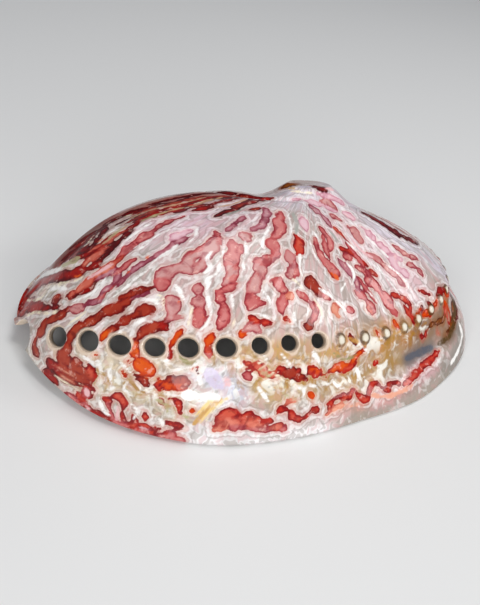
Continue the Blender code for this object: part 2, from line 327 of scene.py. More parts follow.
def scars(direction, share):
    """Collars round the open holes, and the ringed knobs of the closed ones."""
    place = dome(direction, share)
    height = np.zeros(place.shape[:-1])
    for hole_direction, length, width in HOLES:
        centre = dome(hole_direction, row_share(hole_direction))
        gap = np.linalg.norm(place - centre, axis=-1)
        height = height + COLLAR_HEIGHT * bump(gap - 0.25 * (length + width), COLLAR_WIDTH)
    for knob_direction, knob_share, spacing in KNOBS:
        gap = np.linalg.norm(place - dome(knob_direction, knob_share), axis=-1)
        size = min(spacing, KNOB_LARGEST)
        for rise, radius, half_width in KNOB_RINGS:
            height = height + rise * size * bump(gap - radius * size, half_width * size)
    return height


def relief(direction, share):
    """Height of all the carving on the outside, along the dome's normal."""
    back = arc_mask(direction, BACK_ARC)
    keel_height = KEEL_HEIGHT + (BACK_KEEL_HEIGHT - KEEL_HEIGHT) * back
    keel_half_width = KEEL_HALF_WIDTH + (BACK_KEEL_HALF_WIDTH - KEEL_HALF_WIDTH) * back
    keel = ridge_on_spiral(direction, share, row_share, ROW_START, ROW_END, keel_half_width)
    seam_end = SEAM_START + 30.0 * (len(SEAM) - 1)
    seam = ridge_on_spiral(direction, share, seam_share, SEAM_START, seam_end, SEAM_HALF_WIDTH)
    groove = arc_mask(direction, GROOVE_ARC) * bump(share - GROOVE_SHARE, GROOVE_HALF_WIDTH)
    lip = arc_mask(direction, LIP_ARC) * bump(share - LIP_SHARE, LIP_HALF_WIDTH)
    return (folds(direction, share) * (1 - 0.5 * back) + scars(direction, share)
            + keel_height * keel - SEAM_DEPTH * seam - GROOVE_DEPTH * groove + LIP_HEIGHT * lip)


def ring_share(direction, ring):
    """Share reached by a ring of the mesh: a circle near the spire, the row's own line
    at RING_OF_ROW, and closer together towards the rim."""
    row = around(ROW_RING, direction)
    share = np.where(ring < RING_OF_ROW, ring * row / RING_OF_ROW,
                     1 - (1 - row) * ((1 - ring) / (1 - RING_OF_ROW)) ** RIM_CROWDING)
    even = ring * EVEN_RING_REACH / reach(direction)
    far = step_up(0.0, EVEN_RINGS_END, ring)
    return even * (1 - far) + share * far


def outer_surface(direction, share):
    place = dome(direction, share)
    ground = GROUND_TOP - GROUND_SLOPE * (place[..., 1] - SPIRE[1])
    on_flat = bump(from_spire(place[..., 0], place[..., 1]), FLAT_RADIUS)[..., None]
    place[..., 2] = np.minimum(place[..., 2], ground)
    to_rim = step_up(RIM_TURN, 1.0, share)[..., None]
    normal = dome_normal(direction, share) * (1 - to_rim) + rim_normal(direction) * to_rim
    lifted = place + normal * relief(direction, share)[..., None] * (1 - on_flat)
    lift = rim_lift(direction)
    lifted[..., 2] = np.where(share >= 1, lift, lifted[..., 2])
    lifted[..., 2] = np.maximum(lifted[..., 2], lift * step_up(RIM_SETTLE, 1.0, share) + RIM_ROUND)
    return lifted


def inner_surface(direction, share):
    """The nacre face: the dome less the wall, pulled inwards over the shelf."""
    place = dome(direction, share, cone=0.5)
    to_rim = step_up(RIM_SETTLE, 1.0, share)[..., None]
    level = rim_normal(direction)
    normal = dome_normal(direction, share, cone=0.5) * (1 - to_rim) + level * to_rim
    inside = place - normal * WALL
    height = np.maximum(inside[..., 2] - rim_lift(direction), 0)
    pull = (around(SHELF_WIDTH, direction) - WALL) * bump(height, SHELF_DEPTH)
    inside = inside - level * pull[..., None]
    inside[..., 2] += SHELF_RISE * step_up(RIM_SETTLE, 1.0, share)
    return inside


def rim_surface(direction, turn):
    """The rounded edge the shell stands on: turn runs from 0 outside to 1 inside."""
    x, y = outline(direction)
    edge = np.stack([x, y, rim_lift(direction)], -1)
    edge = edge - rim_normal(direction) * (RIM_WIDTH * turn)[..., None]
    edge[..., 2] += RIM_ROUND * (2 * turn - 1) ** 4
    return edge


ALL_RINGS = OUTER_RINGS + RIM_RINGS + INNER_RINGS
MERGE_GAP = 0.000001
bpy.ops.object.select_all(action="DESELECT")
bpy.ops.mesh.primitive_grid_add(x_subdivisions=SEGMENTS, y_subdivisions=ALL_RINGS, size=2.0)
shell = bpy.context.object
shell.name = "polished_shell"
shell.data.name = "polished_shell"
sheet = np.empty(len(shell.data.vertices) * 3)
shell.data.vertices.foreach_get("co", sheet)
sheet = sheet.reshape(-1, 3)
segment = np.mod(np.rint((sheet[:, 0] + 1) / 2 * SEGMENTS), SEGMENTS)
turn = segment * 360.0 / SEGMENTS
direction = turn - math.degrees(FRONT_CROWDING) * np.sin(np.radians(turn - FRONT))
ring = np.rint((1 - sheet[:, 1]) / 2 * ALL_RINGS).astype(int)
outside = ring <= OUTER_RINGS
inside = ring >= OUTER_RINGS + RIM_RINGS
on_rim = ~outside & ~inside
points = np.empty_like(sheet)
points[outside] = outer_surface(
    direction[outside], ring_share(direction[outside], ring[outside] / OUTER_RINGS))
points[on_rim] = rim_surface(direction[on_rim], (ring[on_rim] - OUTER_RINGS) / RIM_RINGS)
points[inside] = inner_surface(
    direction[inside],
    ring_share(direction[inside], 1 - (ring[inside] - OUTER_RINGS - RIM_RINGS) / INNER_RINGS))
points = (points - MIDDLE) * MM
points = np.clip(points, np.array(cad_low), np.array(cad_high))
shell.data.vertices.foreach_set("co", points.ravel())
INSIDE_FACE = 1
for face in shell.data.polygons:
    if inside[face.vertices[0]] and inside[face.vertices[2]]:
        face.material_index = INSIDE_FACE
bpy.ops.object.mode_set(mode="EDIT")
bpy.ops.mesh.select_all(action="SELECT")
bpy.ops.mesh.remove_doubles(threshold=MERGE_GAP)
bpy.ops.mesh.normals_make_consistent(inside=False)
bpy.ops.object.mode_set(mode="OBJECT")


# Paint plan
# The coloured layer's marks as strokes laid over the photograph, in its pixels.
# A stroke is its width in pixels at both ends and the points of its path, by tone.
STRIPES = {
    "maroon": (
        (5, 5, (106, 225), (96, 230), (86, 236), (79, 241), (71, 246)),
        (5, 6, (106, 227), (98, 238), (91, 246), (82, 250), (71, 253), (63, 258)),
        (3, 2, (130, 230), (120, 237), (112, 243), (104, 248), (96, 250)),
        (4, 5, (112, 245), (106, 254), (100, 259), (90, 266), (82, 270), (71, 275), (60, 279),
         (46, 280), (37, 282), (31, 286)),
        (3, 2, (128, 211), (149, 206), (161, 203), (173, 201), (186, 197), (198, 193)),
        (4, 4, (214, 216), (224, 211), (236, 208), (243, 204), (250, 199), (263, 196)),
        (5, 6, (363, 212), (376, 218), (388, 226), (403, 235), (418, 242)),
        (5, 8, (311, 185), (318, 186), (325, 188)), (3, 3, (449, 290), (455, 304), (455, 318)),
        (4, 3, (341, 338), (343, 344)),
        (9, 8, (66, 256), (76, 249), (86, 241), (96, 232), (104, 225)),
        (6, 5, (104, 223), (118, 217), (130, 212), (144, 208)),
        (4, 4, (150, 203), (168, 199), (188, 195), (208, 192), (230, 192), (252, 195)),
        (4, 4, (206, 198), (226, 196), (248, 196), (266, 198)),
        (6, 6, (104, 254), (112, 246), (118, 240), (130, 230)),
        (4, 3, (116, 224), (130, 217), (146, 211)),
    ),
    "blood": (
        (5, 5, (86, 240), (80, 243), (75, 246)),
        (12, 10, (44, 280), (36, 286), (28, 292), (22, 296), (18, 301)),
        (11, 14, (27, 303), (24, 308), (21, 313)),
        (4, 4, (34, 308), (44, 307), (56, 306), (60, 305)),
        (3, 3, (97, 278), (91, 286), (83, 291), (76, 294), (66, 295)),
        (6, 5, (90, 364), (96, 372)),
        (4, 3, (120, 235), (132, 225), (147, 216), (166, 209), (186, 203), (203, 198), (218, 195)),
        (3, 3, (178, 207), (191, 205)),
        (5, 3, (194, 209), (201, 208), (208, 206), (215, 202), (232, 198), (250, 195)),
        (7, 9, (161, 323), (168, 327)), (5, 6, (422, 305), (422, 310)),
        (6, 6, (429, 302), (431, 303)), (5, 4, (438, 294), (442, 290)),
        (12, 11, (48, 361), (56, 366), (64, 370)), (9, 7, (44, 371), (53, 377), (58, 382)),
        (6, 5, (93, 413), (100, 416), (109, 423)), (6, 5, (121, 427), (135, 435)),
        (4, 4, (197, 370), (198, 371)),
        (8, 10, (100, 261), (90, 266), (78, 271), (62, 275), (48, 278), (38, 283)),
        (9, 9, (20, 307), (30, 306), (46, 307)), (9, 8, (20, 298), (28, 300), (34, 303)),
        (7, 8, (40, 279), (31, 286), (24, 294), (20, 303)),
        (6, 5, (134, 221), (150, 214), (166, 208), (184, 203), (204, 199)),
        (4, 4, (176, 211), (192, 206), (206, 203)),
        (5, 5, (232, 206), (246, 202), (262, 199), (272, 197)),
        (6, 6, (112, 234), (104, 242), (96, 249), (84, 254), (70, 258)),
        (6, 5, (62, 262), (76, 252), (88, 244)), (5, 4, (438, 290), (446, 288), (451, 294)),
        (5, 5, (76, 398), (86, 408), (98, 418), (110, 426)),
    ),
    "coral": (
        (5, 3, (130, 227), (119, 233), (109, 240), (100, 245), (92, 249), (84, 254)),
        # partly the shell's coral, partly painted highlight: the lit end of the blood-red band
        # beside it
        (10, 8, (106, 247), (98, 253), (90, 258), (84, 264)),
        (7, 6, (93, 277), (84, 283), (77, 290), (68, 295)), (4, 4, (334, 226), (345, 238)),
        (5, 5, (371, 269), (377, 274)), (4, 4, (444, 307), (448, 317)),
        (7, 7, (122, 256), (114, 262), (104, 269), (94, 275)), (5, 5, (366, 302), (372, 312)),
        (4, 4, (248, 364), (258, 369), (268, 373), (276, 372)),
        (6, 7, (245, 361), (256, 365), (267, 371)),
        (7, 6, (214, 424), (234, 421), (258, 424), (282, 427)),
        (5, 4, (250, 366), (262, 371), (276, 376)),
    ),
    "purple": (
        (4, 3, (117, 266), (108, 272), (100, 276), (95, 279)),
        (5, 5, (121, 272), (113, 282), (104, 291), (100, 299), (93, 302), (85, 303)),
        (4, 4, (192, 235), (178, 240), (171, 246), (161, 252), (149, 259), (134, 268), (125, 276),
         (118, 284)), (3, 3, (151, 291), (140, 294), (131, 297)),
        (5, 5, (226, 230), (236, 222), (244, 215)),
        (8, 6, (266, 208), (266, 216), (261, 224), (253, 228)),
        (7, 6, (311, 206), (320, 212), (326, 219), (330, 224)),
        (5, 6, (338, 257), (348, 269), (356, 280), (359, 291)),
    ),
    "brick": (
        (9, 7, (58, 294), (56, 298), (53, 301)),
        (8, 7, (67, 308), (63, 313), (53, 318), (46, 321), (43, 328), (38, 334), (35, 341),
         (35, 347), (38, 354)),
        (9, 8, (130, 298), (123, 303), (112, 308), (102, 313), (93, 319), (83, 324), (77, 327),
         (72, 334), (69, 341)), (8, 12, (69, 341), (67, 349), (62, 355), (60, 362)),
        (12, 12, (58, 364), (72, 372), (88, 380)),
        (9, 8, (130, 317), (122, 321), (117, 326), (110, 329)),
        (4, 3, (230, 211), (241, 204), (255, 199)), (4, 4, (248, 209), (259, 207)),
        (5, 5, (153, 287), (141, 290), (128, 294), (118, 297)),
        (10, 9, (152, 309), (141, 310), (130, 317)),
        (7, 8, (157, 329), (151, 327), (143, 331), (137, 338)), (8, 9, (311, 320), (309, 326)),
        (10, 9, (307, 277), (315, 287), (323, 293)),
        (12, 9, (65, 359), (75, 364), (83, 373), (91, 379)),
        (8, 7, (59, 373), (70, 379), (80, 385)), (5, 4, (134, 375), (143, 380), (149, 384)),
        (9, 8, (168, 377), (188, 381)),
        (5, 5, (134, 213), (150, 208), (168, 203), (186, 199), (204, 195)),
        (4, 4, (126, 222), (140, 215), (158, 208)), (4, 4, (210, 196), (232, 195), (254, 197)),
        (3, 3, (372, 213), (386, 220), (402, 230), (418, 240)), (5, 4, (350, 334), (356, 344)),
        (7, 7, (306, 324), (308, 327)), (9, 8, (283, 370), (294, 373), (306, 378)),
    ),
    "dusty": (
        (8, 6, (84, 304), (78, 307), (71, 308)),
        (7, 11, (219, 233), (215, 240), (207, 249), (195, 254), (185, 262), (172, 269), (158, 275)),
        (13, 17, (171, 297), (173, 305), (171, 315)), (7, 6, (175, 315), (181, 316)),
        (10, 9, (198, 284), (198, 293)), (12, 8, (198, 296), (199, 305)),
        (12, 10, (229, 264), (232, 272), (224, 282)), (12, 12, (243, 234), (248, 237)),
        (10, 12, (288, 251), (291, 261)), (13, 11, (291, 266), (290, 275)),
        (11, 12, (257, 263), (261, 271), (255, 281), (252, 290)),
        (8, 9, (246, 327), (253, 326), (260, 330)), (4, 5, (320, 199), (329, 202), (336, 209)),
        (5, 4, (332, 214), (342, 220)), (7, 8, (348, 226), (356, 232), (361, 241)),
        (3, 3, (393, 244), (405, 252), (418, 259)), (3, 4, (406, 263), (416, 266), (423, 275)),
        (4, 5, (367, 252), (376, 257), (385, 265), (396, 275), (404, 285)),
        (8, 9, (218, 241), (210, 250), (203, 260), (198, 270)),
        (5, 7, (172, 263), (184, 268), (196, 271)), (9, 9, (249, 327), (256, 328)),
    ),
    "orange": (
        (7, 6, (108, 331), (104, 335), (102, 340)), (7, 7, (135, 342), (134, 350), (137, 356)),
        (7, 6, (181, 330), (176, 337), (172, 344)), (7, 6, (212, 333), (208, 342)),
        (7, 4, (283, 315), (290, 320)), (6, 6, (240, 333), (243, 334)),
        (7, 6, (328, 270), (336, 274)), (5, 4, (446, 293), (448, 294)),
        (4, 4, (423, 313), (433, 310)), (6, 5, (95, 353), (98, 354)),
        (5, 5, (124, 373), (125, 374)), (4, 4, (128, 357), (129, 362)),
        (12, 12, (135, 361), (144, 365), (153, 371)), (5, 5, (192, 409), (195, 410)),
        (2.5, 2.5, (416, 316), (420, 308)), (3, 2.5, (430, 316), (434, 306), (438, 298)),
        (3, 3, (444, 300), (449, 310), (451, 322)), (5, 4, (376, 330), (380, 336)),
        (5, 4, (394, 320), (398, 328)), (4, 4, (364, 348), (356, 356), (352, 362)),
        (4, 4, (158, 376), (164, 384), (184, 387)), (4, 4, (192, 368), (198, 366)),
        (4, 4, (309, 366), (322, 371)), (7, 6, (329, 370), (337, 366), (346, 364)),
        (8, 8, (309, 393), (313, 394)),
    ),
    "rose": (
        (4, 5, (183, 216), (173, 219), (161, 224), (153, 230), (141, 235), (132, 244), (124, 250),
         (118, 255)), (8, 7, (216, 231), (220, 242)), (14, 14, (160, 278), (164, 287)),
        (9, 15, (199, 306), (200, 314), (198, 323)), (6, 3, (203, 318), (209, 316)),
        (8, 15, (233, 240), (232, 254), (228, 262)), (4, 9, (237, 282), (225, 288), (219, 291)),
        (4, 8, (219, 291), (221, 298), (225, 305)), (7, 13, (225, 307), (224, 317), (219, 326)),
        (10, 10, (281, 212), (279, 222), (280, 231), (273, 236)),
        (10, 8, (270, 239), (275, 248), (273, 255), (263, 260), (254, 261)),
        (9, 12, (250, 293), (252, 299), (250, 306)), (8, 4, (256, 302), (265, 302)),
        (12, 5, (275, 278), (279, 284), (285, 290)), (9, 8, (283, 296), (282, 305), (283, 314)),
        (6, 6, (298, 292), (305, 297), (314, 305), (316, 312), (312, 320)),
        (5, 6, (320, 226), (329, 238), (330, 250)),
        (4, 12, (316, 238), (317, 247), (323, 257), (332, 268), (338, 273)),
        (12, 12, (309, 278), (311, 281)), (9, 5, (323, 293), (330, 298)),
        (10, 10, (344, 255), (351, 256)), (4, 4, (356, 265), (364, 270), (366, 276)),
        (8, 8, (366, 278), (376, 285), (383, 294), (390, 304), (396, 314)),
        (5, 6, (356, 290), (365, 298), (372, 306)), (7, 7, (349, 308), (352, 309)),
        (8, 8, (83, 390), (89, 391)), (3, 3, (107, 403), (112, 413), (110, 420)),
        (11, 10, (142, 431), (147, 431)), (5, 5, (166, 431), (173, 433)),
        (5, 5, (230, 426), (250, 427), (264, 428), (276, 427), (287, 429)),
        (5, 5, (152, 233), (142, 238), (133, 246), (124, 252)),
        (6, 5, (134, 258), (126, 264), (116, 272)), (5, 5, (114, 283), (106, 291), (98, 299)),
        (4, 4, (216, 236), (206, 242), (198, 250), (186, 254)),
        (10, 9, (232, 262), (234, 272), (229, 280)), (5, 6, (240, 244), (239, 254), (236, 262)),
        (8, 8, (258, 262), (259, 272), (255, 284)), (6, 5, (292, 256), (296, 268), (294, 276)),
        (6, 5, (324, 236), (326, 248), (330, 258)),
        (4, 4, (345, 238), (352, 250), (362, 262), (370, 276)),
        (4, 4, (358, 276), (366, 288), (376, 300)), (4, 4, (362, 292), (370, 302), (374, 310)),
        (7, 7, (66, 392), (78, 402), (90, 412)),
        (6, 7, (104, 424), (120, 432), (136, 438), (150, 442)),
        (8, 7, (156, 436), (168, 440), (182, 442)), (5, 4, (160, 398), (164, 406)),
        (6, 5, (244, 373), (250, 377)),
    ),
    # Pink marks under a painted reflection: paler and lilac where a broad soft light's sheen lies
    # over them
    "veiled": (
        (7, 5, (170, 238), (178, 234), (191, 230)), (9, 10, (304, 218), (306, 228)),
        (3, 3, (294, 198), (306, 199), (314, 202), (325, 205), (336, 210)),
        (4, 4, (318, 193), (333, 197), (343, 203)), (4, 5, (344, 212), (352, 217)),
        (4, 5, (361, 225), (368, 231), (375, 239)), (5, 6, (377, 242), (388, 250), (400, 258)),
        (8, 9, (391, 253), (396, 265), (407, 273)),
    ),
    "red": (
        (9, 8, (296, 235), (300, 243), (298, 251)), (6, 4, (250, 316), (259, 320), (271, 323)),
        (4, 5, (338, 246), (351, 251), (356, 257)), (5, 5, (361, 260), (367, 265)),
        (5, 5, (392, 293), (402, 297), (410, 304), (409, 314)), (3, 3, (419, 290), (429, 293)),
        (4, 4, (448, 321), (449, 323)), (8, 7, (355, 361), (355, 363)),
        (8, 7, (375, 361), (377, 361)), (7, 6, (425, 333), (426, 335)),
        (6, 5, (437, 330), (438, 331)), (4, 3, (439, 350), (429, 360), (420, 368), (410, 376)),
        (3, 3, (328, 409), (331, 403), (336, 397), (345, 396), (349, 397), (353, 388), (359, 395),
         (367, 398), (370, 386), (376, 381), (382, 387), (388, 389), (391, 382), (401, 382)),
        (5, 4, (277, 412), (284, 409), (290, 410), (294, 416), (300, 418), (307, 414), (313, 409),
         (318, 409)), (6, 6, (88, 365), (92, 373), (99, 376)),
        (4, 3, (85, 385), (95, 390), (90, 396)), (7, 5, (76, 390), (81, 397), (86, 400)),
        (4, 4, (89, 403), (92, 410)), (5, 4, (103, 397), (110, 400)),
        (5, 5, (113, 395), (119, 395), (124, 403), (122, 413), (125, 420)),
        (6, 5, (157, 383), (161, 388)), (5, 4, (170, 350), (170, 357)),
        (5, 4, (208, 347), (210, 358)), (4, 4, (170, 397), (177, 401), (180, 410)),
        (9, 8, (145, 413), (146, 418)), (4, 4, (138, 422), (130, 425), (125, 429), (135, 435)),
        (4, 4, (154, 426), (157, 433)), (5, 4, (167, 421), (177, 424), (186, 427)),
        (8, 8, (217, 418), (231, 412), (240, 414)),
        (9, 6, (240, 416), (253, 418), (264, 420), (273, 420)),
        (4, 4, (110, 238), (102, 246), (94, 252)), (4, 3, (160, 213), (180, 207), (200, 202)),
        (5, 5, (420, 333), (424, 337)), (5, 5, (404, 304), (410, 314), (414, 322)),
        (3, 3, (308, 370), (318, 374), (326, 374)), (3, 3, (340, 370), (350, 366), (358, 360)),
        (4, 4, (400, 384), (410, 380), (418, 372)), (4, 4, (416, 372), (424, 364), (434, 356)),
        (5, 5, (126, 433), (140, 440), (154, 442)), (5, 4, (160, 428), (168, 434), (178, 437)),
        (5, 5, (134, 414), (138, 422), (150, 426)), (10, 8, (278, 367), (286, 370)),
        (8, 9, (296, 376), (299, 369)),
    ),
    "salmon": (
        (8, 6, (287, 295), (293, 295)), (9, 13, (334, 305), (338, 315)),
        (5, 4, (335, 302), (340, 306)), (5, 5, (213, 428), (227, 426)),
        (3, 3, (326, 414), (336, 406), (346, 402)), (6, 6, (289, 400), (294, 400)),
    ),
    "umber": (
        (6, 7, (283, 186), (289, 184), (294, 183)),
        (5, 5, (452, 298), (454, 310), (452, 324), (446, 334)),
        (4, 5, (430, 324), (440, 320), (447, 312)),
    ),
}

# Lines and spots that lie over the marks, laid the same way
LINES = {
    "cream": (
        (2, 4, (93, 235), (89, 240), (84, 246)),
        (2, 2.5, (84, 275), (79, 278), (70, 281), (57, 283), (50, 284), (46, 290), (42, 296),
         (35, 299), (27, 299)), (2, 2, (86, 310), (79, 316), (71, 321), (65, 325)),
        (3, 4, (27, 315), (36, 311), (48, 312), (58, 310)), (3, 2, (155, 198.5), (150, 200)),
        (3, 2, (124, 216), (132, 213)), (2, 1, (194, 203), (200, 201)),
        (1.5, 2, (193, 304), (190, 316), (188, 326)),
        (1.5, 1.5, (155, 292), (164, 298), (162, 310)), (1.5, 2, (236, 315), (232, 327)),
        (2.5, 2, (289, 276), (297, 281), (303, 288)), (2, 2, (314, 298), (320, 307), (323, 318)),
        (2, 2, (292, 190), (302, 191), (312, 192)),
        (1.5, 1.5, (53, 373), (62, 379), (73, 386), (80, 390)),
        (1.5, 1.5, (251, 357), (268, 367), (280, 377), (296, 384)),
        (2, 2, (224, 401), (212, 411), (206, 420)),
    ),
    "brown": (
        (2, 1.5, (101, 228), (96, 234)), (1.5, 1.5, (336, 344), (344, 350), (352, 348)),
    ),
    # White lines: partly the shell's pale growth lines, partly painted highlights, the glare and
    # glints of the polish, most of all on the lower wall
    "white": (
        (3, 2, (120, 225), (112, 230), (107, 234)),
        (8, 7, (60, 268), (50, 271), (43, 274), (36, 279)),
        (4, 5, (67, 287), (57, 287), (51, 288), (47, 293), (43, 298)),
        (2, 2, (107, 276), (101, 283), (94, 290), (83, 296), (74, 300)),
        (2, 1.5, (128, 285), (117, 293), (108, 299), (100, 304)),
        (2, 1, (106, 319), (98, 326), (92, 331)),
        (4, 2, (151, 222), (141, 228), (130, 236), (120, 246)),
        (2, 3, (170, 228), (158, 234), (147, 243), (136, 250)),
        (2, 1.5, (149, 239), (141, 243), (134, 248), (128, 254)),
        (3, 2, (197, 228), (195, 235), (190, 240)),
        (4, 2.5, (177, 244), (170, 250), (158, 257), (147, 266)),
        (2, 2, (152, 266), (140, 274), (128, 284)),
        (3, 4, (212, 250), (207, 258), (210, 266), (204, 272)),
        (3.5, 2.5, (220, 261), (217, 272), (208, 277), (206, 284)),
        (5, 6, (176, 285), (180, 291), (184, 298)),
        (4, 4, (210, 280), (207, 290), (209, 303), (211, 311)),
        (2.5, 2.5, (211, 314), (206, 324), (199, 329)), (4, 4, (141, 298), (153, 299), (158, 304)),
        (4, 3, (133, 324), (144, 318), (151, 321)), (3, 2.5, (126, 338), (118, 332), (127, 326)),
        (3, 4, (232, 294), (233, 306)), (2, 2, (245, 240), (246, 252), (243, 262), (246, 272)),
        (2, 1.5, (222, 236), (224, 250), (216, 262)), (2, 2, (270, 226), (264, 236), (262, 246)),
        (3, 2, (262, 289), (268, 296), (270, 303)), (3, 2, (250, 311), (261, 313), (270, 318)),
        (3, 2, (300, 254), (300, 268), (303, 275)), (1.5, 1.5, (288, 213), (291, 224), (291, 234)),
        (2, 2, (313, 230), (318, 237)), (2, 2, (310, 240), (314, 252), (320, 262)),
        (2, 2, (338, 232), (348, 242), (356, 249)), (3, 3, (319, 287), (331, 295), (345, 309)),
        (2.5, 2, (347, 280), (341, 289)), (4, 4, (294, 312), (296, 319)),
        (2, 2, (347, 262), (354, 272), (352, 284)),
        (2, 1.5, (372, 262), (382, 272), (392, 283), (400, 294)),
        (2, 2, (368, 290), (377, 300), (385, 312)), (2, 1.5, (384, 262), (396, 270), (406, 280)),
        (2, 1.5, (366, 235), (376, 244), (388, 256)), (2.5, 2, (359, 342), (364, 347), (369, 351)),
        (2.5, 2, (379, 333), (384, 339)), (2.5, 2, (397, 328), (402, 335)),
        (2.5, 2, (344, 349), (349, 352)), (6, 5, (357, 368), (359, 375), (357, 381)),
        (4, 4, (332, 378), (336, 384), (344, 386)), (4, 3, (296, 384), (304, 390), (302, 396)),
        (3, 2, (368, 362), (371, 368)), (4, 3, (281, 352), (286, 358), (291, 366)),
        (3, 3, (262, 352), (268, 360)), (5, 4, (313, 352), (318, 358), (320, 364)),
        (2, 2, (300, 388), (308, 384), (318, 386)), (2, 2, (326, 384), (334, 380)),
        (5, 4, (84, 356), (91, 361), (99, 366)), (4.5, 3.5, (112, 361), (110, 372), (112, 385)),
        (3, 2, (98, 359), (103, 366)), (4, 3, (168, 392), (180, 394)),
        (11, 7, (184, 394), (204, 395), (220, 397)), (7, 4, (199, 377), (202, 386)),
        (4, 3, (236, 366), (244, 364)), (5, 4, (108, 388), (116, 386)),
        (4, 4, (99, 396), (103, 408), (109, 414)), (4, 3, (131, 402), (137, 410), (134, 418)),
        (4, 4, (152, 414), (160, 418), (163, 424)), (3, 3, (128, 380), (124, 388), (134, 396)),
        (4, 4, (150, 353), (160, 358), (172, 362)), (4, 3, (178, 368), (190, 366), (200, 360)),
        (3, 3, (120, 362), (126, 366), (130, 372)), (4, 3, (257, 384), (262, 392), (268, 400)),
        (4, 3, (244, 395), (247, 401)), (5, 4, (459, 322), (462, 334), (458, 350), (450, 364)),
    ),
    "khaki": (
        (3, 1.5, (124, 226), (115, 232), (108, 237)), (8, 8, (79, 257), (70, 261), (61, 265)),
        (2, 2, (34, 278), (28, 285)), (3, 2, (141, 220), (158, 213), (176, 208), (192, 205)),
        (5, 4, (156, 398), (166, 404), (168, 412)), (4, 3, (184, 414), (191, 420)),
        (5, 5, (283, 391), (289, 396)), (4, 4, (258, 368), (270, 376)),
    ),
    "tan": (
        (3, 2, (131, 222), (122, 228), (112, 236), (102, 243)),
        (3, 2, (128, 218), (150, 209), (168, 205), (186, 201), (205, 196)),
        (4, 2.5, (196, 204), (206, 200), (222, 196)), (3, 2, (217, 206), (232, 203), (246, 198)),
    ),
    "olive": (
        (1.5, 1.5, (56, 290), (50, 292), (44, 299)), (3, 3, (409, 327), (414, 326)),
        (3, 3, (334, 352), (344, 358), (356, 354)), (4, 4, (180, 355), (188, 362), (196, 360)),
        (4, 4, (112, 350), (122, 352)),
    ),
    "pink": (
        (4, 3, (113, 262), (105, 267), (97, 272), (88, 277)), (3, 3, (62, 302), (60, 304)),
        (3, 3, (350, 236), (362, 250), (372, 256)), (3, 3, (326, 187), (334, 189)),
        (9, 6, (86, 389), (88, 393)), (6, 6, (86, 405), (88, 409)), (6, 5, (118, 406), (117, 419)),
        (6, 4, (140, 427), (147, 429)), (3, 3, (173, 402), (176, 408)),
        (9, 8, (226, 379), (229, 383)),
    ),
    "orange_spot": (
        (3, 2, (81, 274), (74, 276)), (3, 4, (103, 237), (98, 241)),
        (3, 4, (130, 270), (126, 273)), (3, 4, (149, 254), (146, 257)),
        (8, 6, (335, 274), (338, 278)), (3, 3, (203, 314), (204, 316)),
        (2.5, 2, (179, 300), (178, 303)),
    ),
    "grey": (
        (3, 1.5, (226, 214), (240, 209), (252, 204)), (4, 5, (293, 212), (297, 222), (296, 232)),
        (3, 3, (329, 229), (339, 241)), (4, 4, (269, 386), (275, 389)),
    ),
    "amber_line": (
        (5, 5, (288, 187), (293, 187)), (5, 4, (350, 338), (360, 341)),
        (5, 4, (376, 339), (384, 337)), (4, 4, (394, 332), (400, 330)),
        (4, 5, (222, 397), (210, 406), (199, 417), (194, 423)),
    ),
    "lilac": (
        (4, 4, (299, 186), (312, 185)), (14, 14, (208, 370), (214, 378), (222, 386)),
    ),
    "yellow": (
        (4, 4, (229, 396), (216, 404), (206, 413), (200, 422)),
        (3, 3, (214, 398), (204, 406), (196, 414)),
    ),
    "dark": (
        (5, 5, (452, 296), (455, 309), (452, 320)),
        (6, 5, (454, 322), (451, 331), (446, 338), (438, 343)),
    ),
    "slate": (
        (7, 8, (432, 346), (420, 351), (406, 357)),
    ),
    "salmon_line": (
        (3, 3, (330, 412), (342, 405), (352, 404), (360, 402)),
        (5, 4, (372, 394), (388, 395), (402, 390), (414, 383)),
        (1.2, 1.0, (54, 363), (64, 369), (74, 376)), (1.2, 1.0, (62, 374), (72, 380), (84, 384)),
    ),
    "crimson": (
        (1.6, 1.2, (46, 362), (56, 368), (66, 374), (78, 379)),
        (1.4, 1.0, (60, 360), (70, 367), (82, 374), (90, 380)),
        (1.4, 1.0, (50, 372), (60, 377), (72, 383), (80, 387)),
    ),
}

# Each tone's heart, body and dark edge, as screen colours from 0 to 255
TONES = {
    "maroon": ((122, 12, 12), (92, 4, 8), (66, 0, 6)),
    "blood": ((164, 22, 12), (134, 6, 4), (88, 2, 4)),
    "brick": ((172, 64, 42), (150, 36, 20), (100, 10, 14)),
    "red": ((206, 84, 62), (180, 36, 24), (124, 10, 16)),
    "orange": ((224, 92, 22), (206, 66, 8), (160, 26, 8)),
    "coral": ((222, 126, 104), (200, 82, 64), (150, 34, 32)),
    "salmon": ((232, 166, 142), (222, 140, 114), (200, 98, 80)),
    "rose": ((208, 126, 122), (190, 86, 86), (142, 36, 48)),
    "dusty": ((206, 154, 150), (196, 120, 118), (150, 50, 62)),
    # pink whitened by a painted reflection
    "veiled": ((230, 192, 200), (222, 174, 184), (196, 130, 146)),
    "purple": ((196, 140, 148), (170, 94, 106), (128, 44, 62)),
    "umber": ((150, 84, 30), (122, 60, 22), (84, 38, 16)),
}

LINE_TONES = {
    "white": (255, 252, 248),
    "cream": (248, 234, 206),
    "khaki": (186, 176, 132),
    "olive": (150, 142, 92),
    "tan": (206, 158, 124),
    "brown": (126, 62, 30),
    "grey": (166, 166, 158),
    "yellow": (240, 206, 128),
    "crimson": (134, 30, 26),
    "lilac": (216, 204, 226),
    "pink": (238, 190, 192),
    "orange_spot": (226, 92, 34),
    "salmon_line": (236, 168, 140),
    "amber_line": (206, 156, 80),
    "dark": (84, 62, 34),
    "slate": (92, 94, 104),
}


def linear(tone):
    """A colour given as screen values from 0 to 255, as light."""
    value = np.array(tone, float) / 255.0
    return np.where(value <= 0.04045, value / 12.92, ((value + 0.055) / 1.055) ** 2.4)


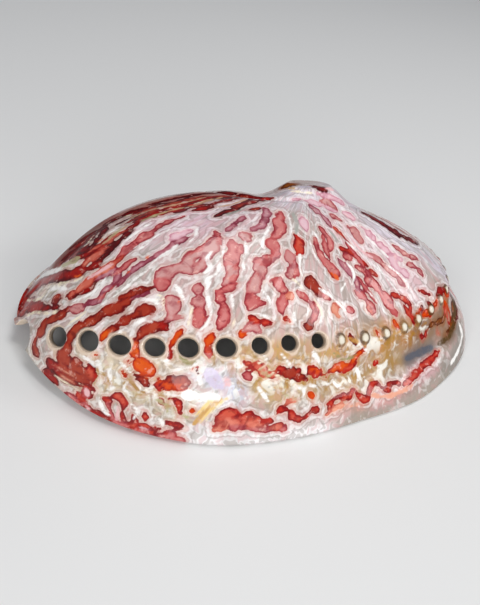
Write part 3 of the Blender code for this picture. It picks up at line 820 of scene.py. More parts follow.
# A stroke is laid a little fuller than it was read, swells along its way and ends slimmer.
# Gain, knot length and end taper are in millimetres.
STROKE_GAIN = 0.40
KNOT_LENGTH = 1.3
LINE_SLIMNESS = 0.9
KNOT_SWELL = 0.20
END_TAPER = 1.6
END_WIDTH = 0.55
FOCAL_PIXELS = CAMERA_LENS * IMAGE_SIZE[1] / camera_data.sensor_width
IMAGE_MIDDLE = (IMAGE_SIZE[0] / 2, IMAGE_SIZE[1] / 2)
SHELL_MIDDLE_PIXEL = np.array((240.0, 320.0))
READING_SHIFT = np.array((0.0, 1.2))
AIM_TRIES = 12
AIM_STEP = 0.012


def on_shell(pixel):
    """The place on the shell, in millimetres, that a pixel of the photograph shows. A pixel
    just past the outline moves towards the middle until it meets the shell."""
    pixel = np.array(pixel, float) + READING_SHIFT
    for _ in range(AIM_TRIES):
        ray = Vector((pixel[0] - IMAGE_MIDDLE[0], IMAGE_MIDDLE[1] - pixel[1], -FOCAL_PIXELS))
        ray = (camera.matrix_world.to_3x3() @ ray).normalized()
        hit, place, _, _ = shell.ray_cast(CAMERA_PLACE, ray)
        if hit:
            return np.array(place) / MM
        pixel += (SHELL_MIDDLE_PIXEL - pixel) * AIM_STEP
    raise ValueError("no shell under this pixel")


def smooth_path(pixels, step=2.0):
    """Points every few pixels along a smooth line through the given ones."""
    pixels = np.array(pixels, float)
    found = []
    for i in range(len(pixels) - 1):
        before = pixels[max(i - 1, 0)]
        after = pixels[min(i + 2, len(pixels) - 1)]
        count = max(int(np.linalg.norm(pixels[i + 1] - pixels[i]) / step), 1)
        for k in range(count):
            found.append(cubic(before, pixels[i], pixels[i + 1], after, k / count))
    found.append(pixels[-1])
    return found


def pixel_size(place):
    """Millimetres across one pixel at a place on the shell."""
    away = np.linalg.norm(place - np.array(CAMERA_PLACE) / MM)
    return away / FOCAL_PIXELS


def laid_stroke(start_width, end_width, pixels):
    """A stroke on the shell: its path in millimetres and its half width at each point."""
    path = np.array([on_shell(pixel) for pixel in smooth_path(pixels)])
    share = np.linspace(0, 1, len(path))
    scale = np.array([pixel_size(place) for place in path])
    return path, 0.5 * scale * (start_width + (end_width - start_width) * share)


def knotted(path, half, gain=STROKE_GAIN):
    """The same stroke with swellings along it and slimmer ends."""
    run = np.concatenate([[0.0], np.cumsum(np.linalg.norm(np.diff(path, axis=0), axis=1))])
    phase = path[0] @ np.array((0.7, 1.3, 0.4))
    knots = np.sin(run / KNOT_LENGTH + phase) + 0.5 * np.sin(run / KNOT_LENGTH * 2.3 + 2 * phase)
    ends = np.minimum(run, run[-1] - run)
    taper = END_WIDTH + (1 - END_WIDTH) * step_up(0.0, END_TAPER, ends)
    return path, (half + gain) * (1 + KNOT_SWELL * knots) * taper


def distance_to_stroke(places, path, half):
    """Distance of places to the edge of a stroke: below 0 inside it."""
    best = np.full(len(places), 1e3)
    for i in range(max(len(path) - 1, 1)):
        start = path[i]
        along = path[min(i + 1, len(path) - 1)] - start
        length = max(along @ along, 1e-9)
        t = np.clip((places - start) @ along / length, 0, 1)
        gap = np.linalg.norm(places - start - t[:, None] * along, axis=1)
        width = half[i] + (half[min(i + 1, len(half) - 1)] - half[i]) * t
        best = np.minimum(best, gap - width)
    return best


# The ground's base tint, and the soft zones that tint it, laid the same way
GROUND = (192, 174, 166)
ZONE_STRENGTH = 6.0
ZONES = (
    # colour, reach in pixels, path
    ((228, 206, 184), 9, (30, 300), (60, 272), (90, 252), (118, 234)),
    ((122, 20, 14), 14, (62, 257), (74, 246), (86, 235), (100, 224)),
    ((150, 34, 24), 9, (18, 312), (24, 300), (36, 288)),
    ((160, 66, 50), 12, (112, 217), (136, 207), (166, 199), (200, 193)),
    ((166, 84, 74), 10, (204, 193), (232, 193), (262, 196)),
    ((200, 196, 188), 20, (60, 320), (100, 296), (140, 262)),
    # painted reflection: the pink-lilac sheen of a soft light along the dome's left crest
    ((224, 192, 204), 22, (140, 244), (200, 220), (252, 208)),
    ((206, 196, 190), 14, (130, 258), (160, 244), (180, 250)),
    ((222, 214, 228), 16, (282, 196), (300, 198), (330, 200)),
    ((112, 52, 24), 4, (281, 187), (289, 184), (297, 183)),
    ((110, 14, 14), 4, (312, 185), (319, 186), (328, 188)),
    # painted reflection: the lilac-white sheen along the right ridge
    ((226, 218, 232), 11, (337, 192), (363, 214), (388, 232), (421, 249), (446, 272)),
    ((204, 184, 180), 30, (190, 290), (260, 290), (330, 285)),
    # painted reflection: pale pink sheen over the right shoulder
    ((230, 202, 208), 17, (335, 218), (366, 244), (396, 270), (412, 282)),
    ((214, 190, 176), 12, (190, 322), (260, 324), (330, 318)),
    ((226, 206, 176), 10, (60, 350), (110, 356), (170, 358), (230, 356)),
    ((200, 154, 76), 10, (240, 352), (300, 350), (350, 346)),
    ((190, 126, 14), 13, (350, 343), (372, 341), (390, 335), (411, 328)),
    ((220, 200, 160), 13, (84, 376), (110, 376), (150, 392), (180, 405)),
    ((200, 164, 92), 13, (250, 366), (275, 385), (310, 380)),
    ((176, 134, 60), 13, (330, 384), (360, 374), (394, 356)),
    ((222, 226, 244), 12, (205, 372), (222, 380), (235, 388)),
    # painted highlight: the glare of the polish on the lower wall
    ((250, 246, 240), 8, (186, 396), (215, 396)),
    ((84, 84, 88), 7, (430, 346), (415, 353), (404, 360)),
    ((150, 120, 72), 7, (398, 366), (384, 366)),
    ((128, 78, 16), 14, (414, 332), (430, 326), (442, 316), (448, 302)),
    ((226, 150, 130), 5, (330, 414), (350, 406), (372, 402), (394, 394), (412, 382)),
    ((206, 110, 104), 5, (70, 396), (90, 414), (116, 430), (150, 440), (180, 443)),
    ((128, 124, 118), 8, (458, 326), (462, 340), (456, 358), (444, 372)),
    ((96, 70, 40), 5, (454, 323), (450, 334), (440, 342)),
    ((206, 160, 164), 9, (430, 366), (404, 386), (376, 402)),
    ((160, 148, 134), 9, (446, 376), (434, 391), (402, 409), (360, 424)),
    ((226, 170, 168), 6, (150, 440), (176, 440)),
    ((214, 186, 182), 5, (290, 424), (320, 420), (350, 412)),
    ((255, 253, 255), 11, (196, 436), (215, 438), (250, 440), (285, 434), (320, 427)),
    ((214, 210, 196), 6, (27, 348), (33, 363), (55, 384), (76, 406), (110, 424)),
)

# Bare pearl: reach in pixels, path
PEARLS = (
    (12, (84, 372), (110, 376), (150, 392), (182, 404)),
    (16, (245, 364), (275, 380), (310, 376), (350, 378), (390, 362)),
    (12, (180, 352), (240, 356)),
    (11, (352, 346), (393, 338), (430, 326)),
    (12, (205, 372), (235, 386)),
)

strokes = [(tone, *knotted(*laid_stroke(start, end, pixels)))
           for tone, marks in STRIPES.items() for start, end, *pixels in marks]
lines = [(tone, *knotted(*laid_stroke(LINE_SLIMNESS * start, LINE_SLIMNESS * end, pixels), 0.0))
         for tone, marks in LINES.items() for start, end, *pixels in marks]
zones = [(colour, *laid_stroke(2 * reach_pixels, 2 * reach_pixels, pixels))
         for colour, reach_pixels, *pixels in ZONES]
pearls = [(reach_pixels, *laid_stroke(2 * reach_pixels, 2 * reach_pixels, pixels))
          for reach_pixels, *pixels in PEARLS]


# Holes
# Nine breathing holes, smaller and rounder towards the spire, and the open notch of the
# next one at the growing edge. They are cut through the wall and a little flared outside.
HOLE_LEAN = Vector((-0.20, -0.78, 0.60)).normalized()
HOLE_LEAN_SHARE = 0.85
HOLE_SIDES = 64
HOLE_DEPTHS = (-8.0, -3.0, -2.0, -1.2, -0.6, -0.2, 0.2, 0.6, 1.2, 3.0, 8.0)
HOLE_FLARE = 0.45
HOLE_EGG = (0.05, 0.04)
# The notch's direction, share, length, width and lean
NOTCH = (186.6, 0.998, 11.0, 11.6, 0.3)


def hole_corners(direction, share, length, width, lean_share):
    """Rings of points down a hole, in metres."""
    centre = dome(np.array(direction), np.array(share))
    normal = Vector(dome_normal(np.array(direction), np.array(share)))
    out = normal.lerp(HOLE_LEAN, lean_share).normalized()
    ahead = Vector(dome(np.array(direction + 2.0), row_share(np.array(direction + 2.0))) - centre)
    along = (ahead - out * ahead.dot(out)).normalized()
    across = out.cross(along)
    corners = []
    for depth in HOLE_DEPTHS:
        flare = HOLE_FLARE * float(step_up(-1.0, 0.8, depth))
        for k in range(HOLE_SIDES):
            turn = 2 * math.pi * k / HOLE_SIDES
            egg = 1 + HOLE_EGG[0] * math.cos(turn * 2 + 0.8) + HOLE_EGG[1] * math.sin(turn)
            corner = (Vector(centre) + out * depth
                      + along * (egg * length / 2 + flare) * math.cos(turn)
                      + across * (egg * width / 2 + flare) * math.sin(turn))
            corners.append((corner - Vector(MIDDLE)) * MM)
    return corners


def hole_sides(first):
    sides = []
    for level in range(len(HOLE_DEPTHS) - 1):
        for k in range(HOLE_SIDES):
            a = first + level * HOLE_SIDES + k
            b = first + level * HOLE_SIDES + (k + 1) % HOLE_SIDES
            sides.append((a, b, b + HOLE_SIDES, a + HOLE_SIDES))
    last = first + (len(HOLE_DEPTHS) - 1) * HOLE_SIDES
    sides.append(tuple(reversed(range(first, first + HOLE_SIDES))))
    sides.append(tuple(range(last, last + HOLE_SIDES)))
    return sides


outer_layer = bpy.data.materials.new("coloured_layer")
nacre = bpy.data.materials.new("nacre")
cut_wall = bpy.data.materials.new("cut_wall")
for material in (outer_layer, nacre, cut_wall):
    material.use_nodes = True
    shell.data.materials.append(material)
corners, sides = [], []
for hole in [(hole[0], float(row_share(hole[0])), hole[1], hole[2], HOLE_LEAN_SHARE)
             for hole in HOLES] + [NOTCH]:
    sides += hole_sides(len(corners))
    corners += hole_corners(*hole)
mesh = bpy.data.meshes.new("hole_cutter")
mesh.from_pydata(corners, [], sides)
mesh.materials.append(cut_wall)
cutter = bpy.data.objects.new("hole_cutter", mesh)
bpy.context.scene.collection.objects.link(cutter)
cut = shell.modifiers.new("holes", "BOOLEAN")
cut.object = cutter
cut.operation = "DIFFERENCE"
cut.solver = "EXACT"
cut.material_mode = "TRANSFER"
bpy.ops.object.select_all(action="DESELECT")
shell.select_set(True)
bpy.context.view_layer.objects.active = shell
bpy.ops.object.modifier_apply(modifier=cut.name)
bpy.data.objects.remove(cutter, do_unlink=True)
shell.data.shade_smooth()


# Paint
# The strokes become distances stored on the wall's points, so that the material can draw
# their edges sharply with noise. The far side gets strokes of the same kind, from a seed.
def pearl_field(places):
    """Where the polishing reached bare pearl, with its glints: 0 to 1."""
    field = np.zeros(len(places))
    for reach_pixels, path, radius in pearls:
        gap = distance_to_stroke(places, path[::4], np.zeros(len(path)))
        field = np.maximum(field, bump(gap, radius.mean()))
    return field


def zone_colours(places):
    """The pale ground, tinted near the middle line of each zone."""
    total = np.tile(linear(GROUND), (len(places), 1))
    weight = np.ones((len(places), 1))
    for colour, path, radius in zones:
        gap = distance_to_stroke(places, path[::4], np.zeros(len(path)))
        share = ZONE_STRENGTH * bump(gap, radius.mean())[:, None]
        total += share * linear(colour)
        weight += share
    return total / weight


points = np.empty(len(shell.data.vertices) * 3)
shell.data.vertices.foreach_get("co", points)
places = points.reshape(-1, 3) / MM
centred = places + MIDDLE
rim_turns = np.arange(-360.0, 720.0, 1.0)
rim_x, rim_y = outline(rim_turns)
rim_angles = np.unwrap(np.arctan2(rim_y - SPIRE[1], rim_x - SPIRE[0]))
spire_angle = np.arctan2(centred[:, 1] - SPIRE[1], centred[:, 0] - SPIRE[0])
spire_angle += 2 * np.pi * (spire_angle < rim_angles[360])
direction = np.interp(spire_angle, rim_angles, rim_turns)
share = np.hypot(centred[:, 0] - SPIRE[0], centred[:, 1] - SPIRE[1]) / reach(direction)
HIDDEN_DEPTH = 2.0


def hidden(place):
    """Whether the shell itself covers a place on it, seen from the camera."""
    aim = Vector(place * MM) - CAMERA_PLACE
    hit, met, _, _ = shell.ray_cast(CAMERA_PLACE, aim.normalized())
    return hit and (met - CAMERA_PLACE).length < aim.length - HIDDEN_DEPTH * MM


# The far side's marks run in lanes from spire to rim, one band of shares after another
random_marks = random.Random(11)
BACK_BANDS = ((0.13, 0.28), (0.27, 0.46), (0.45, 0.64), (0.62, 0.80), (0.80, 1.02))
BACK_SPACING = 6.4
BACK_JITTER = 0.22
BACK_LENGTH = (0.65, 1.15)
BACK_OFFSET = 0.03
BACK_WIDTH = (0.9, 1.9)
BACK_WAVER = (1.0, 2.5)
# The far side's tones include the pink paled by a painted reflection
BACK_TONES = ("rose", "rose", "dusty", "red", "coral", "brick", "purple", "veiled")
RIDGE_TONES = ("maroon", "blood", "blood", "brick", "red")
RIDGE_ARC = (95.0, 185.0)
HORIZON = 0.11
CLEARANCE = 1.3
SHORTEST = 5
LANE_POINTS = 12
view = np.array(CAMERA_PLACE) / MM
laid_points = np.concatenate([path for _, path, _ in strokes])
steps = np.linspace(0, 1, LANE_POINTS)


def facing(path, path_direction, path_share):
    """How squarely each point of a path faces the camera: below 0 it faces away."""
    toward = view - path
    toward = toward / np.linalg.norm(toward, axis=1, keepdims=True)
    return (toward * dome_normal(path_direction, path_share)).sum(1)


for begin, end in BACK_BANDS:
    band_circle = dome(np.arange(361.0), np.full(361, (begin + end) / 2))
    around_band = np.linalg.norm(np.diff(band_circle, axis=0), axis=1).sum()
    lanes = int(around_band / BACK_SPACING)
    for lane in range(lanes):
        start = 360.0 * (lane + random_marks.uniform(-BACK_JITTER, BACK_JITTER)) / lanes
        span = (end - begin) * random_marks.uniform(*BACK_LENGTH)
        first = begin + random_marks.uniform(-BACK_OFFSET, BACK_OFFSET)
        width = random_marks.uniform(*BACK_WIDTH)
        waver = random_marks.uniform(*BACK_WAVER) * 0.5 / begin ** 0.5
        phase = random_marks.uniform(0, 6.3)
        ridge = RIDGE_ARC[0] < start < RIDGE_ARC[1]
        tone = random_marks.choice(RIDGE_TONES if ridge else BACK_TONES)
        path_share = np.clip(first + span * steps, 0.1, 0.998)
        path_direction = start - FOLD_SWEEP * span * steps + waver * np.sin(6 * steps + phase)
        path = dome(path_direction, path_share) - MIDDLE
        turned_away = facing(path, path_direction, path_share) < HORIZON
        nearest_laid = np.linalg.norm(path[:, None] - laid_points[None], axis=2).min(1)
        kept = [i for i in range(LANE_POINTS) if nearest_laid[i] > width + CLEARANCE
                and (turned_away[i] or hidden(path[i]))]
        if len(kept) >= SHORTEST and kept[-1] - kept[0] == len(kept) - 1:
            swelling = 0.75 + 0.25 * np.sin(steps * 7 + phase)
            strokes.append((tone, *knotted(path[kept], (width * swelling)[kept])))

BACK_GROUNDS = ((214, 204, 210), (224, 196, 202), (206, 186, 160), (222, 216, 214),
                (190, 172, 150), (216, 206, 224))
BACK_ZONES = 26
BACK_ZONE_ARC = (20, 200)
BACK_ZONE_SHARES = (0.3, 0.95)
BACK_ZONE_SPREAD = np.linspace(-8, 8, 9)
BACK_ZONE_REACH = 7.0
for _ in range(BACK_ZONES):
    path_direction = random_marks.uniform(*BACK_ZONE_ARC) + BACK_ZONE_SPREAD
    path_share = np.full(len(BACK_ZONE_SPREAD), random_marks.uniform(*BACK_ZONE_SHARES))
    path = dome(path_direction, path_share) - MIDDLE
    if facing(path, path_direction, path_share).max() < 0:
        reach_all = np.full(len(path), BACK_ZONE_REACH)
        zones.append((random_marks.choice(BACK_GROUNDS), path, reach_all))

# How far from a mark its distance and its tone are stored, in millimetres
FAR = 8.0
TONE_REACH = 10.0
LINE_REACH = 3.0


def nearest_mark(marks, names, reach):
    """Each place's distance to the edge of its nearest mark, and that mark's tone."""
    distance = np.full(len(places), max(reach, FAR))
    which = np.zeros(len(places), int)
    for tone, path, half in marks:
        low = path.min(0) - reach - half.max()
        high = path.max(0) + reach + half.max()
        near = np.nonzero(((places > low) & (places < high)).all(1))[0]
        gap = distance_to_stroke(places[near], path, half)
        closer = gap < distance[near]
        distance[near[closer]] = gap[closer]
        which[near[closer]] = names.index(tone)
    return np.minimum(distance, FAR), which


def store_value(name, values):
    attribute = shell.data.attributes.new(name, "FLOAT", "POINT")
    attribute.data.foreach_set("value", np.asarray(values, np.float32))


def store_colour(name, colours):
    attribute = shell.data.attributes.new(name, "FLOAT_COLOR", "POINT")
    opaque = np.concatenate([colours, np.ones((len(colours), 1))], 1)
    attribute.data.foreach_set("color", opaque.astype(np.float32).ravel())


PAINTED_KNOBS = 13
KNOB_PAINT_SIZE = 0.34
FLOW_RADIUS = 40.0
FLOW_STRETCH = 0.24
WALL_FLOW_STRETCH = 0.5
mark, nearest = nearest_mark(strokes, list(TONES), TONE_REACH)
palette = np.array([[linear(part) for part in tone] for tone in TONES.values()])
store_value("mark", mark)
for layer, name in enumerate(("core", "body", "edge")):
    store_colour(name, palette[nearest, layer])
line, nearest = nearest_mark(lines, list(LINE_TONES), LINE_REACH)
store_value("line", line)
store_colour("line_colour", np.array([linear(tone) for tone in LINE_TONES.values()])[nearest])
knob_ring = np.full(len(places), 2.0)
for knob_direction, knob_share, spacing in KNOBS[:PAINTED_KNOBS]:
    centre = dome(knob_direction, knob_share) - MIDDLE
    away = np.linalg.norm(places - centre, axis=1)
    away = np.sqrt(away ** 2 - away.min() ** 2) / (KNOB_PAINT_SIZE * min(spacing, KNOB_LARGEST))
    knob_ring = np.minimum(knob_ring, away)
collar = np.full(len(places), FAR)
for hole_direction, length, width in HOLES:
    centre = dome(hole_direction, row_share(hole_direction)) - MIDDLE
    away = np.linalg.norm(places - centre, axis=1) - 0.25 * (length + width)
    collar = np.minimum(collar, away)
store_value("collar", collar)
store_value("knob", knob_ring)
ground_colours = zone_colours(places)
store_colour("ground", ground_colours)
store_value("paleness", step_up(0.12, 0.45, ground_colours.mean(1)))
store_value("pearl", pearl_field(places))
across = np.radians(direction)
wall_top = dome(direction, around(ROW_RING, direction))[..., 2]
down_wall = np.maximum(wall_top - places[:, 2], 0.0)
flow = np.stack([FLOW_RADIUS * np.cos(across), FLOW_RADIUS * np.sin(across),
                 FLOW_STRETCH * share * reach(direction) + WALL_FLOW_STRETCH * down_wall], -1)
attribute = shell.data.attributes.new("flow", "FLOAT_VECTOR", "POINT")
attribute.data.foreach_set("vector", flow.astype(np.float32).ravel())


# Material of the coloured outside
# Clear polished layers over pearl: pale ground, marks with a dark rim and a paler heart,
# and thin light growth lines between them. Some light is painted in: the silky white
# ribbons, the light lines and the halos round the marks are partly painted sheen and
# glints, each line has a painted shade line beside it, and each knob a painted shadow
# ring and a painted highlight.
def node(tree, kind, **settings):
    made = tree.nodes.new(kind)
    for name, value in settings.items():
        if name in made.inputs:
            made.inputs[name].default_value = value
        else:
            setattr(made, name, value)
    return made


def wave(tree, source, scale, detail=3.0, roughness=0.5, distortion=0.0):
    """Noise over the shell's own place, or over another vector."""
    noise = node(tree, "ShaderNodeTexNoise", noise_dimensions="3D")
    noise.inputs["Scale"].default_value = scale
    noise.inputs["Detail"].default_value = detail
    noise.inputs["Roughness"].default_value = roughness
    noise.inputs["Distortion"].default_value = distortion
    tree.links.new(source, noise.inputs["Vector"])
    return noise.outputs["Fac"]


def math_node(tree, operation, first, second=0.0, third=0.0):
    made = node(tree, "ShaderNodeMath", operation=operation)
    for socket, value in zip(made.inputs, (first, second, third)):
        if isinstance(value, bpy.types.NodeSocket):
            tree.links.new(value, socket)
        else:
            socket.default_value = value
    return made.outputs[0]


def fade(tree, value, low, high, to_low=0.0, to_high=1.0):
    """A value carried smoothly from one range to another."""
    made = node(tree, "ShaderNodeMapRange", interpolation_type="SMOOTHSTEP")
    tree.links.new(value, made.inputs["Value"])
    made.inputs["From Min"].default_value = low
    made.inputs["From Max"].default_value = high
    made.inputs["To Min"].default_value = to_low
    made.inputs["To Max"].default_value = to_high
    return made.outputs["Result"]


def blend(tree, factor, first, second):
    """One colour carried towards another by a factor or mask."""
    made = node(tree, "ShaderNodeMix", data_type="RGBA")
    sockets = (made.inputs[0], made.inputs[6], made.inputs[7])
    for socket, value in zip(sockets, (factor, first, second)):
        if isinstance(value, bpy.types.NodeSocket):
            tree.links.new(value, socket)
        elif isinstance(value, float):
            socket.default_value = value
        else:
            socket.default_value = (*linear(value), 1.0)
    return made.outputs[2]


def attribute_of(tree, name, output):
    made = node(tree, "ShaderNodeAttribute", attribute_name=name)
    return made.outputs[output]


def band(tree, value, middle, half_width, softness):
    """1 where a value is within half_width of a middle, fading over softness."""
    off = math_node(tree, "ABSOLUTE", math_node(tree, "SUBTRACT", value, middle))
    return fade(tree, off, half_width, half_width + softness, 1.0, 0.0)


def times(tree, first, second):
    return math_node(tree, "MULTIPLY", first, second)


# Noise in waves to the metre, and in millimetres what it adds to a mark's edge
LOBE_WAVES = 250.0
FRAY_WAVES = 700.0
MOTTLE_WAVES = 420.0
CLOUD_WAVES = 110.0
DRIFT_WAVES = 210.0
SILK_WAVES = 0.50
VEIN_WAVES = 0.62
RIPPLE_WAVES = 150.0
LOBE_SIZE = 2.6
FRAY_SIZE = 0.9
COLLAR_LOBE_SIZE = 2.2

CLOUD_GREY = (158, 150, 140)
# partly painted sheen: pale silky ribbons along the growth
SILK_SHEEN_WHITE = (250, 246, 244)
PINK_VEIN = (206, 146, 146)
GREY_VEIN = (150, 136, 124)
CONTOUR_SHADE = (146, 124, 118)
# partly painted glints: the thin white contour lines
CONTOUR_GLINT_WHITE = (252, 248, 246)
PEARL_GOLD = (170, 122, 34)
PEARL_GLINT = (252, 250, 240)
MARK_FLECK = (250, 206, 190)
# painted glint: the light halo round each mark
MARK_HALO_GLINT = (240, 222, 210)
COLLAR_TAN = (214, 190, 166)
COLLAR_EDGE = (240, 222, 204)
# painted shadow: the dark ring round each knob
KNOB_SHADOW_RING = (84, 58, 30)
KNOB_PEARL = (194, 182, 154)
KNOB_GLINT = (250, 244, 232)

tree = outer_layer.node_tree
surface = tree.nodes["Principled BSDF"]
own = node(tree, "ShaderNodeTexCoord").outputs["Object"]
flow = attribute_of(tree, "flow", "Vector")
mark = attribute_of(tree, "mark", "Fac")
lobes = math_node(tree, "SUBTRACT", wave(tree, own, LOBE_WAVES, 1.0, 0.5, 0.4), 0.5)
fray = math_node(tree, "SUBTRACT", wave(tree, own, FRAY_WAVES, 3.0, 0.6), 0.5)
gap = math_node(tree, "MULTIPLY_ADD", lobes, LOBE_SIZE, mark)
gap = math_node(tree, "MULTIPLY_ADD", fray, FRAY_SIZE, gap)

mottle = wave(tree, own, MOTTLE_WAVES, 4.0, 0.6)
cloud = wave(tree, own, CLOUD_WAVES, 3.0, 0.5)
drift = wave(tree, own, DRIFT_WAVES, 3.0, 0.5, 0.8)
silk = wave(tree, flow, SILK_WAVES, 2.0, 0.5, 0.5)

ground = attribute_of(tree, "ground", "Color")
pearl = attribute_of(tree, "pearl", "Fac")
core = attribute_of(tree, "core", "Color")
body = attribute_of(tree, "body", "Color")
edge = attribute_of(tree, "edge", "Color")
ground = blend(tree, fade(tree, cloud, 0.42, 0.62, 0.0, 0.30), ground, CLOUD_GREY)
paleness = attribute_of(tree, "paleness", "Fac")
# Pale ribbons along the growth: partly the shell's own streaks, partly painted pearly sheen
silk_sheen = times(tree, fade(tree, silk, 0.52, 0.62, 0.0, 0.50), paleness)
ground = blend(tree, silk_sheen, ground, SILK_SHEEN_WHITE)
veins = wave(tree, flow, VEIN_WAVES, 1.0, 0.5, 0.5)
pink_vein = times(tree, fade(tree, veins, 0.50, 0.62, 0.0, 0.34), paleness)
ground = blend(tree, pink_vein, ground, PINK_VEIN)
grey_vein = times(tree, fade(tree, veins, 0.47, 0.38, 0.0, 0.42), paleness)
ground = blend(tree, grey_vein, ground, GREY_VEIN)
ground = blend(tree, fade(tree, gap, 1.3, 0.1, 0.0, 0.38), ground, core)
contour = math_node(tree, "MULTIPLY_ADD", drift, -2.4, math_node(tree, "SUBTRACT", gap, 0.1))
broken = times(tree, fade(tree, mottle, 0.38, 0.56, 0.15, 1.0), paleness)
# Thin white lines following the marks: partly growth lines, partly painted glints on the ridges
contour_glint = times(tree, band(tree, contour, 0.0, 0.16, 0.60), broken)
shade = times(tree, band(tree, contour, 0.75, 0.08, 0.40), 0.35)
ground = blend(tree, shade, ground, CONTOUR_SHADE)
ground = blend(tree, times(tree, contour_glint, 0.45), ground, CONTOUR_GLINT_WHITE)
glints = times(tree, pearl, fade(tree, drift, 0.51, 0.64))
gold = times(tree, pearl, fade(tree, drift, 0.51, 0.37, 0.0, 0.8))
ground = blend(tree, gold, ground, PEARL_GOLD)
ground = blend(tree, times(tree, glints, 0.8), ground, PEARL_GLINT)

knob = math_node(tree, "MULTIPLY_ADD", fray, 0.25, attribute_of(tree, "knob", "Fac"))

heart = times(tree, fade(tree, gap, -0.5, -1.3), fade(tree, cloud, 0.40, 0.55, 0.45, 1.0))
inside_mark = blend(tree, heart, body, core)
inside_mark = blend(tree, fade(tree, drift, 0.52, 0.66, 0.0, 0.65), inside_mark, edge)
inside_mark = blend(tree, fade(tree, mottle, 0.43, 0.30, 0.0, 0.40), inside_mark, MARK_FLECK)
edge_strength = fade(tree, drift, 0.36, 0.56, 0.1, 0.9)
rim_line = times(tree, band(tree, gap, -0.25, 0.10, 0.30), edge_strength)
inside_mark = blend(tree, rim_line, inside_mark, edge)
# painted glint: a thin light halo just outside each mark's edge
halo_glint = times(tree, band(tree, gap, 0.28, 0.08, 0.26), broken)
painted = blend(tree, times(tree, halo_glint, 0.5), ground, MARK_HALO_GLINT)
painted = blend(tree, fade(tree, gap, -0.12, 0.16, 1.0, 0.0), painted, inside_mark)
collar = math_node(tree, "MULTIPLY_ADD", lobes, COLLAR_LOBE_SIZE,
                   attribute_of(tree, "collar", "Fac"))
painted = blend(tree, fade(tree, collar, 0.8, 1.6, 0.75, 0.0), painted, COLLAR_TAN)
painted = blend(tree, times(tree, band(tree, collar, 0.75, 0.1, 0.4), 0.4), painted, COLLAR_EDGE)
# painted shadow: a dark ring round each knob; the white core further down is a painted highlight
knob_shadow = times(tree, band(tree, knob, 0.50, 0.10, 0.20),
                  fade(tree, drift, 0.36, 0.56, 0.3, 0.85))
painted = blend(tree, knob_shadow, painted, KNOB_SHADOW_RING)
painted = blend(tree, fade(tree, knob, 0.24, 0.44, 0.90, 0.0), painted, KNOB_PEARL)
painted = blend(tree, fade(tree, knob, 0.14, 0.36, 0.62, 0.0), painted, KNOB_GLINT)
line_gap = math_node(tree, "MULTIPLY_ADD", lobes, 1.2, attribute_of(tree, "line", "Fac"))
line_gap = math_node(tree, "MULTIPLY_ADD", fray, 0.8, line_gap)
line_mask = times(tree, fade(tree, line_gap, -0.3, 0.4, 0.92, 0.0),
                  fade(tree, mottle, 0.34, 0.50, 0.55, 1.0))
painted = blend(tree, line_mask, painted, attribute_of(tree, "line_colour", "Color"))
tree.links.new(painted, surface.inputs["Base Color"])
surface.inputs["Roughness"].default_value = 0.4
surface.inputs["IOR"].default_value = 1.3
tree.links.new(fade(tree, paleness, 0.0, 1.0, 0.10, 0.75), surface.inputs["Coat Weight"])
tree.links.new(fade(tree, paleness, 0.0, 1.0, 0.0, 0.25), surface.inputs["Specular IOR Level"])
surface.inputs["Coat IOR"].default_value = 1.36
surface.inputs["Coat Roughness"].default_value = 0.045
hammered = math_node(tree, "MULTIPLY_ADD", pearl, 2.0, 0.7)
ripple = math_node(tree, "MULTIPLY_ADD", wave(tree, own, RIPPLE_WAVES, 3.0, 0.5), hammered,
                   times(tree, fade(tree, gap, -0.6, 0.6), 0.4))
bump_node = node(tree, "ShaderNodeBump")
bump_node.inputs["Strength"].default_value = 0.75
bump_node.inputs["Distance"].default_value = 0.0008
tree.links.new(ripple, bump_node.inputs["Height"])
tree.links.new(bump_node.outputs["Normal"], surface.inputs["Normal"])


# Nacre and the cut walls
# The inside is bare pearl: silver with soft green and pink clouds. The holes' walls are
# the same pearl, ground pale.
NACRE_LILAC = (226, 208, 218)
NACRE_SILVER = (214, 222, 216)
NACRE_GREEN = (176, 218, 200)
NACRE_ROSE = (240, 196, 212)
NACRE_CREAM = (226, 224, 196)
NACRE_WHITE = (248, 246, 246)
CUT_TAN = (214, 190, 160)
CUT_CREAM = (236, 220, 206)

tree = nacre.node_tree
surface = tree.nodes["Principled BSDF"]
own = node(tree, "ShaderNodeTexCoord").outputs["Object"]
clouds = wave(tree, own, 24.0, 3.0, 0.5, 1.5)
ribbons = wave(tree, own, 60.0, 2.0, 0.45, 2.5)
threads = wave(tree, own, 170.0, 3.0, 0.5, 3.0)
pearl = blend(tree, fade(tree, clouds, 0.36, 0.50), NACRE_LILAC, NACRE_SILVER)
pearl = blend(tree, fade(tree, clouds, 0.52, 0.66), pearl, NACRE_GREEN)
pearl = blend(tree, fade(tree, ribbons, 0.50, 0.70, 0.0, 0.8), pearl, NACRE_ROSE)
pearl = blend(tree, fade(tree, ribbons, 0.46, 0.32, 0.0, 0.6), pearl, NACRE_CREAM)
pearl = blend(tree, fade(tree, threads, 0.50, 0.70, 0.0, 0.3), pearl, NACRE_WHITE)
tree.links.new(pearl, surface.inputs["Base Color"])
surface.inputs["Roughness"].default_value = 0.22
surface.inputs["Metallic"].default_value = 0.22
surface.inputs["Coat Weight"].default_value = 0.6
surface.inputs["Coat Roughness"].default_value = 0.08
swell = math_node(tree, "MULTIPLY_ADD", threads, 0.3, wave(tree, own, 45.0, 3.0, 0.5))
bump_node = node(tree, "ShaderNodeBump")
bump_node.inputs["Strength"].default_value = 0.35
bump_node.inputs["Distance"].default_value = 0.0015
tree.links.new(swell, bump_node.inputs["Height"])
tree.links.new(bump_node.outputs["Normal"], surface.inputs["Normal"])

tree = cut_wall.node_tree
surface = tree.nodes["Principled BSDF"]
own = node(tree, "ShaderNodeTexCoord").outputs["Object"]
pale = blend(tree, wave(tree, own, 500.0), CUT_TAN, CUT_CREAM)
tree.links.new(pale, surface.inputs["Base Color"])
surface.inputs["Roughness"].default_value = 0.3

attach(shell, "root")
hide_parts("shell")


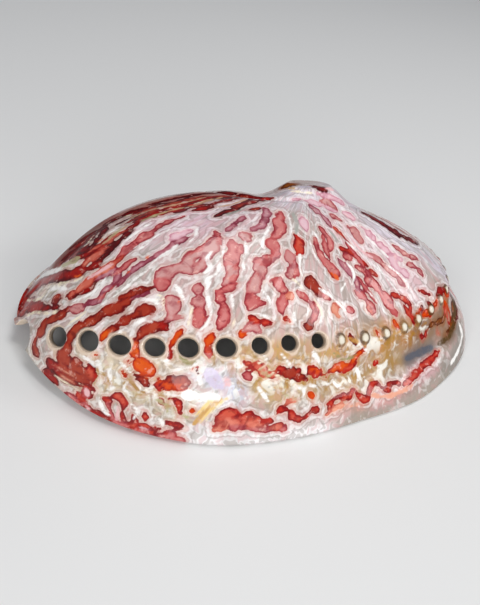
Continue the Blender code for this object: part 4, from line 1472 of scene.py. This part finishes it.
# Floor
# A plain pale level ground, wider than the picture.
FLOOR_SIZE = 4.0
bpy.ops.object.select_all(action="DESELECT")
bpy.ops.mesh.primitive_plane_add(size=FLOOR_SIZE)
floor = bpy.context.object
floor.name = "floor"
floor_finish = bpy.data.materials.new("floor_finish")
floor_finish.use_nodes = True
floor_surface = floor_finish.node_tree.nodes["Principled BSDF"]
floor_surface.inputs["Base Color"].default_value = (0.80, 0.80, 0.79, 1.0)
floor_surface.inputs["Roughness"].default_value = 0.55
floor.data.materials.append(floor_finish)


# Light
# Plain soft studio light: large ones overhead, in front, front left and right, two small
# ones that glint on the polish, and a dim even sky.
def soft_light(name, place, target, size, power):
    light = bpy.data.lights.new(name, "AREA")
    light.shape = "RECTANGLE"
    light.size, light.size_y = size
    light.energy = power
    lamp = bpy.data.objects.new(name, light)
    bpy.context.scene.collection.objects.link(lamp)
    place = Vector(place)
    aim = (Vector(target) - place).to_track_quat("-Z", "Y").to_matrix().to_4x4()
    lamp.matrix_world = Matrix.Translation(place) @ aim


soft_light("overhead", (0.15, 0.10, 0.90), (0.0, 0.0, 0.03), (0.5, 0.4), 3.5)
soft_light("front_left", (-0.60, -0.70, 0.55), (0.0, 0.0, 0.02), (0.3, 0.3), 2.9)
soft_light("front", (-0.05, -0.95, 0.30), (0.0, 0.0, 0.01), (0.5, 0.3), 3.3)
soft_light("right", (0.80, -0.25, 0.50), (0.0, 0.0, 0.02), (0.3, 0.3), 2.0)
soft_light("glint_left", (-0.30, -0.70, 0.80), (0.0, 0.0, 0.02), (0.06, 0.06), 0.5)
soft_light("glint_right", (0.35, -0.80, 0.60), (0.0, 0.0, 0.02), (0.06, 0.06), 0.4)

sky = bpy.data.worlds.new("sky")
sky.use_nodes = True
sky.node_tree.nodes["Background"].inputs["Color"].default_value = (0.86, 0.90, 1.0, 1.0)
sky.node_tree.nodes["Background"].inputs["Strength"].default_value = 0.17
bpy.context.scene.world = sky
bpy.context.scene.view_settings.view_transform = "Standard"
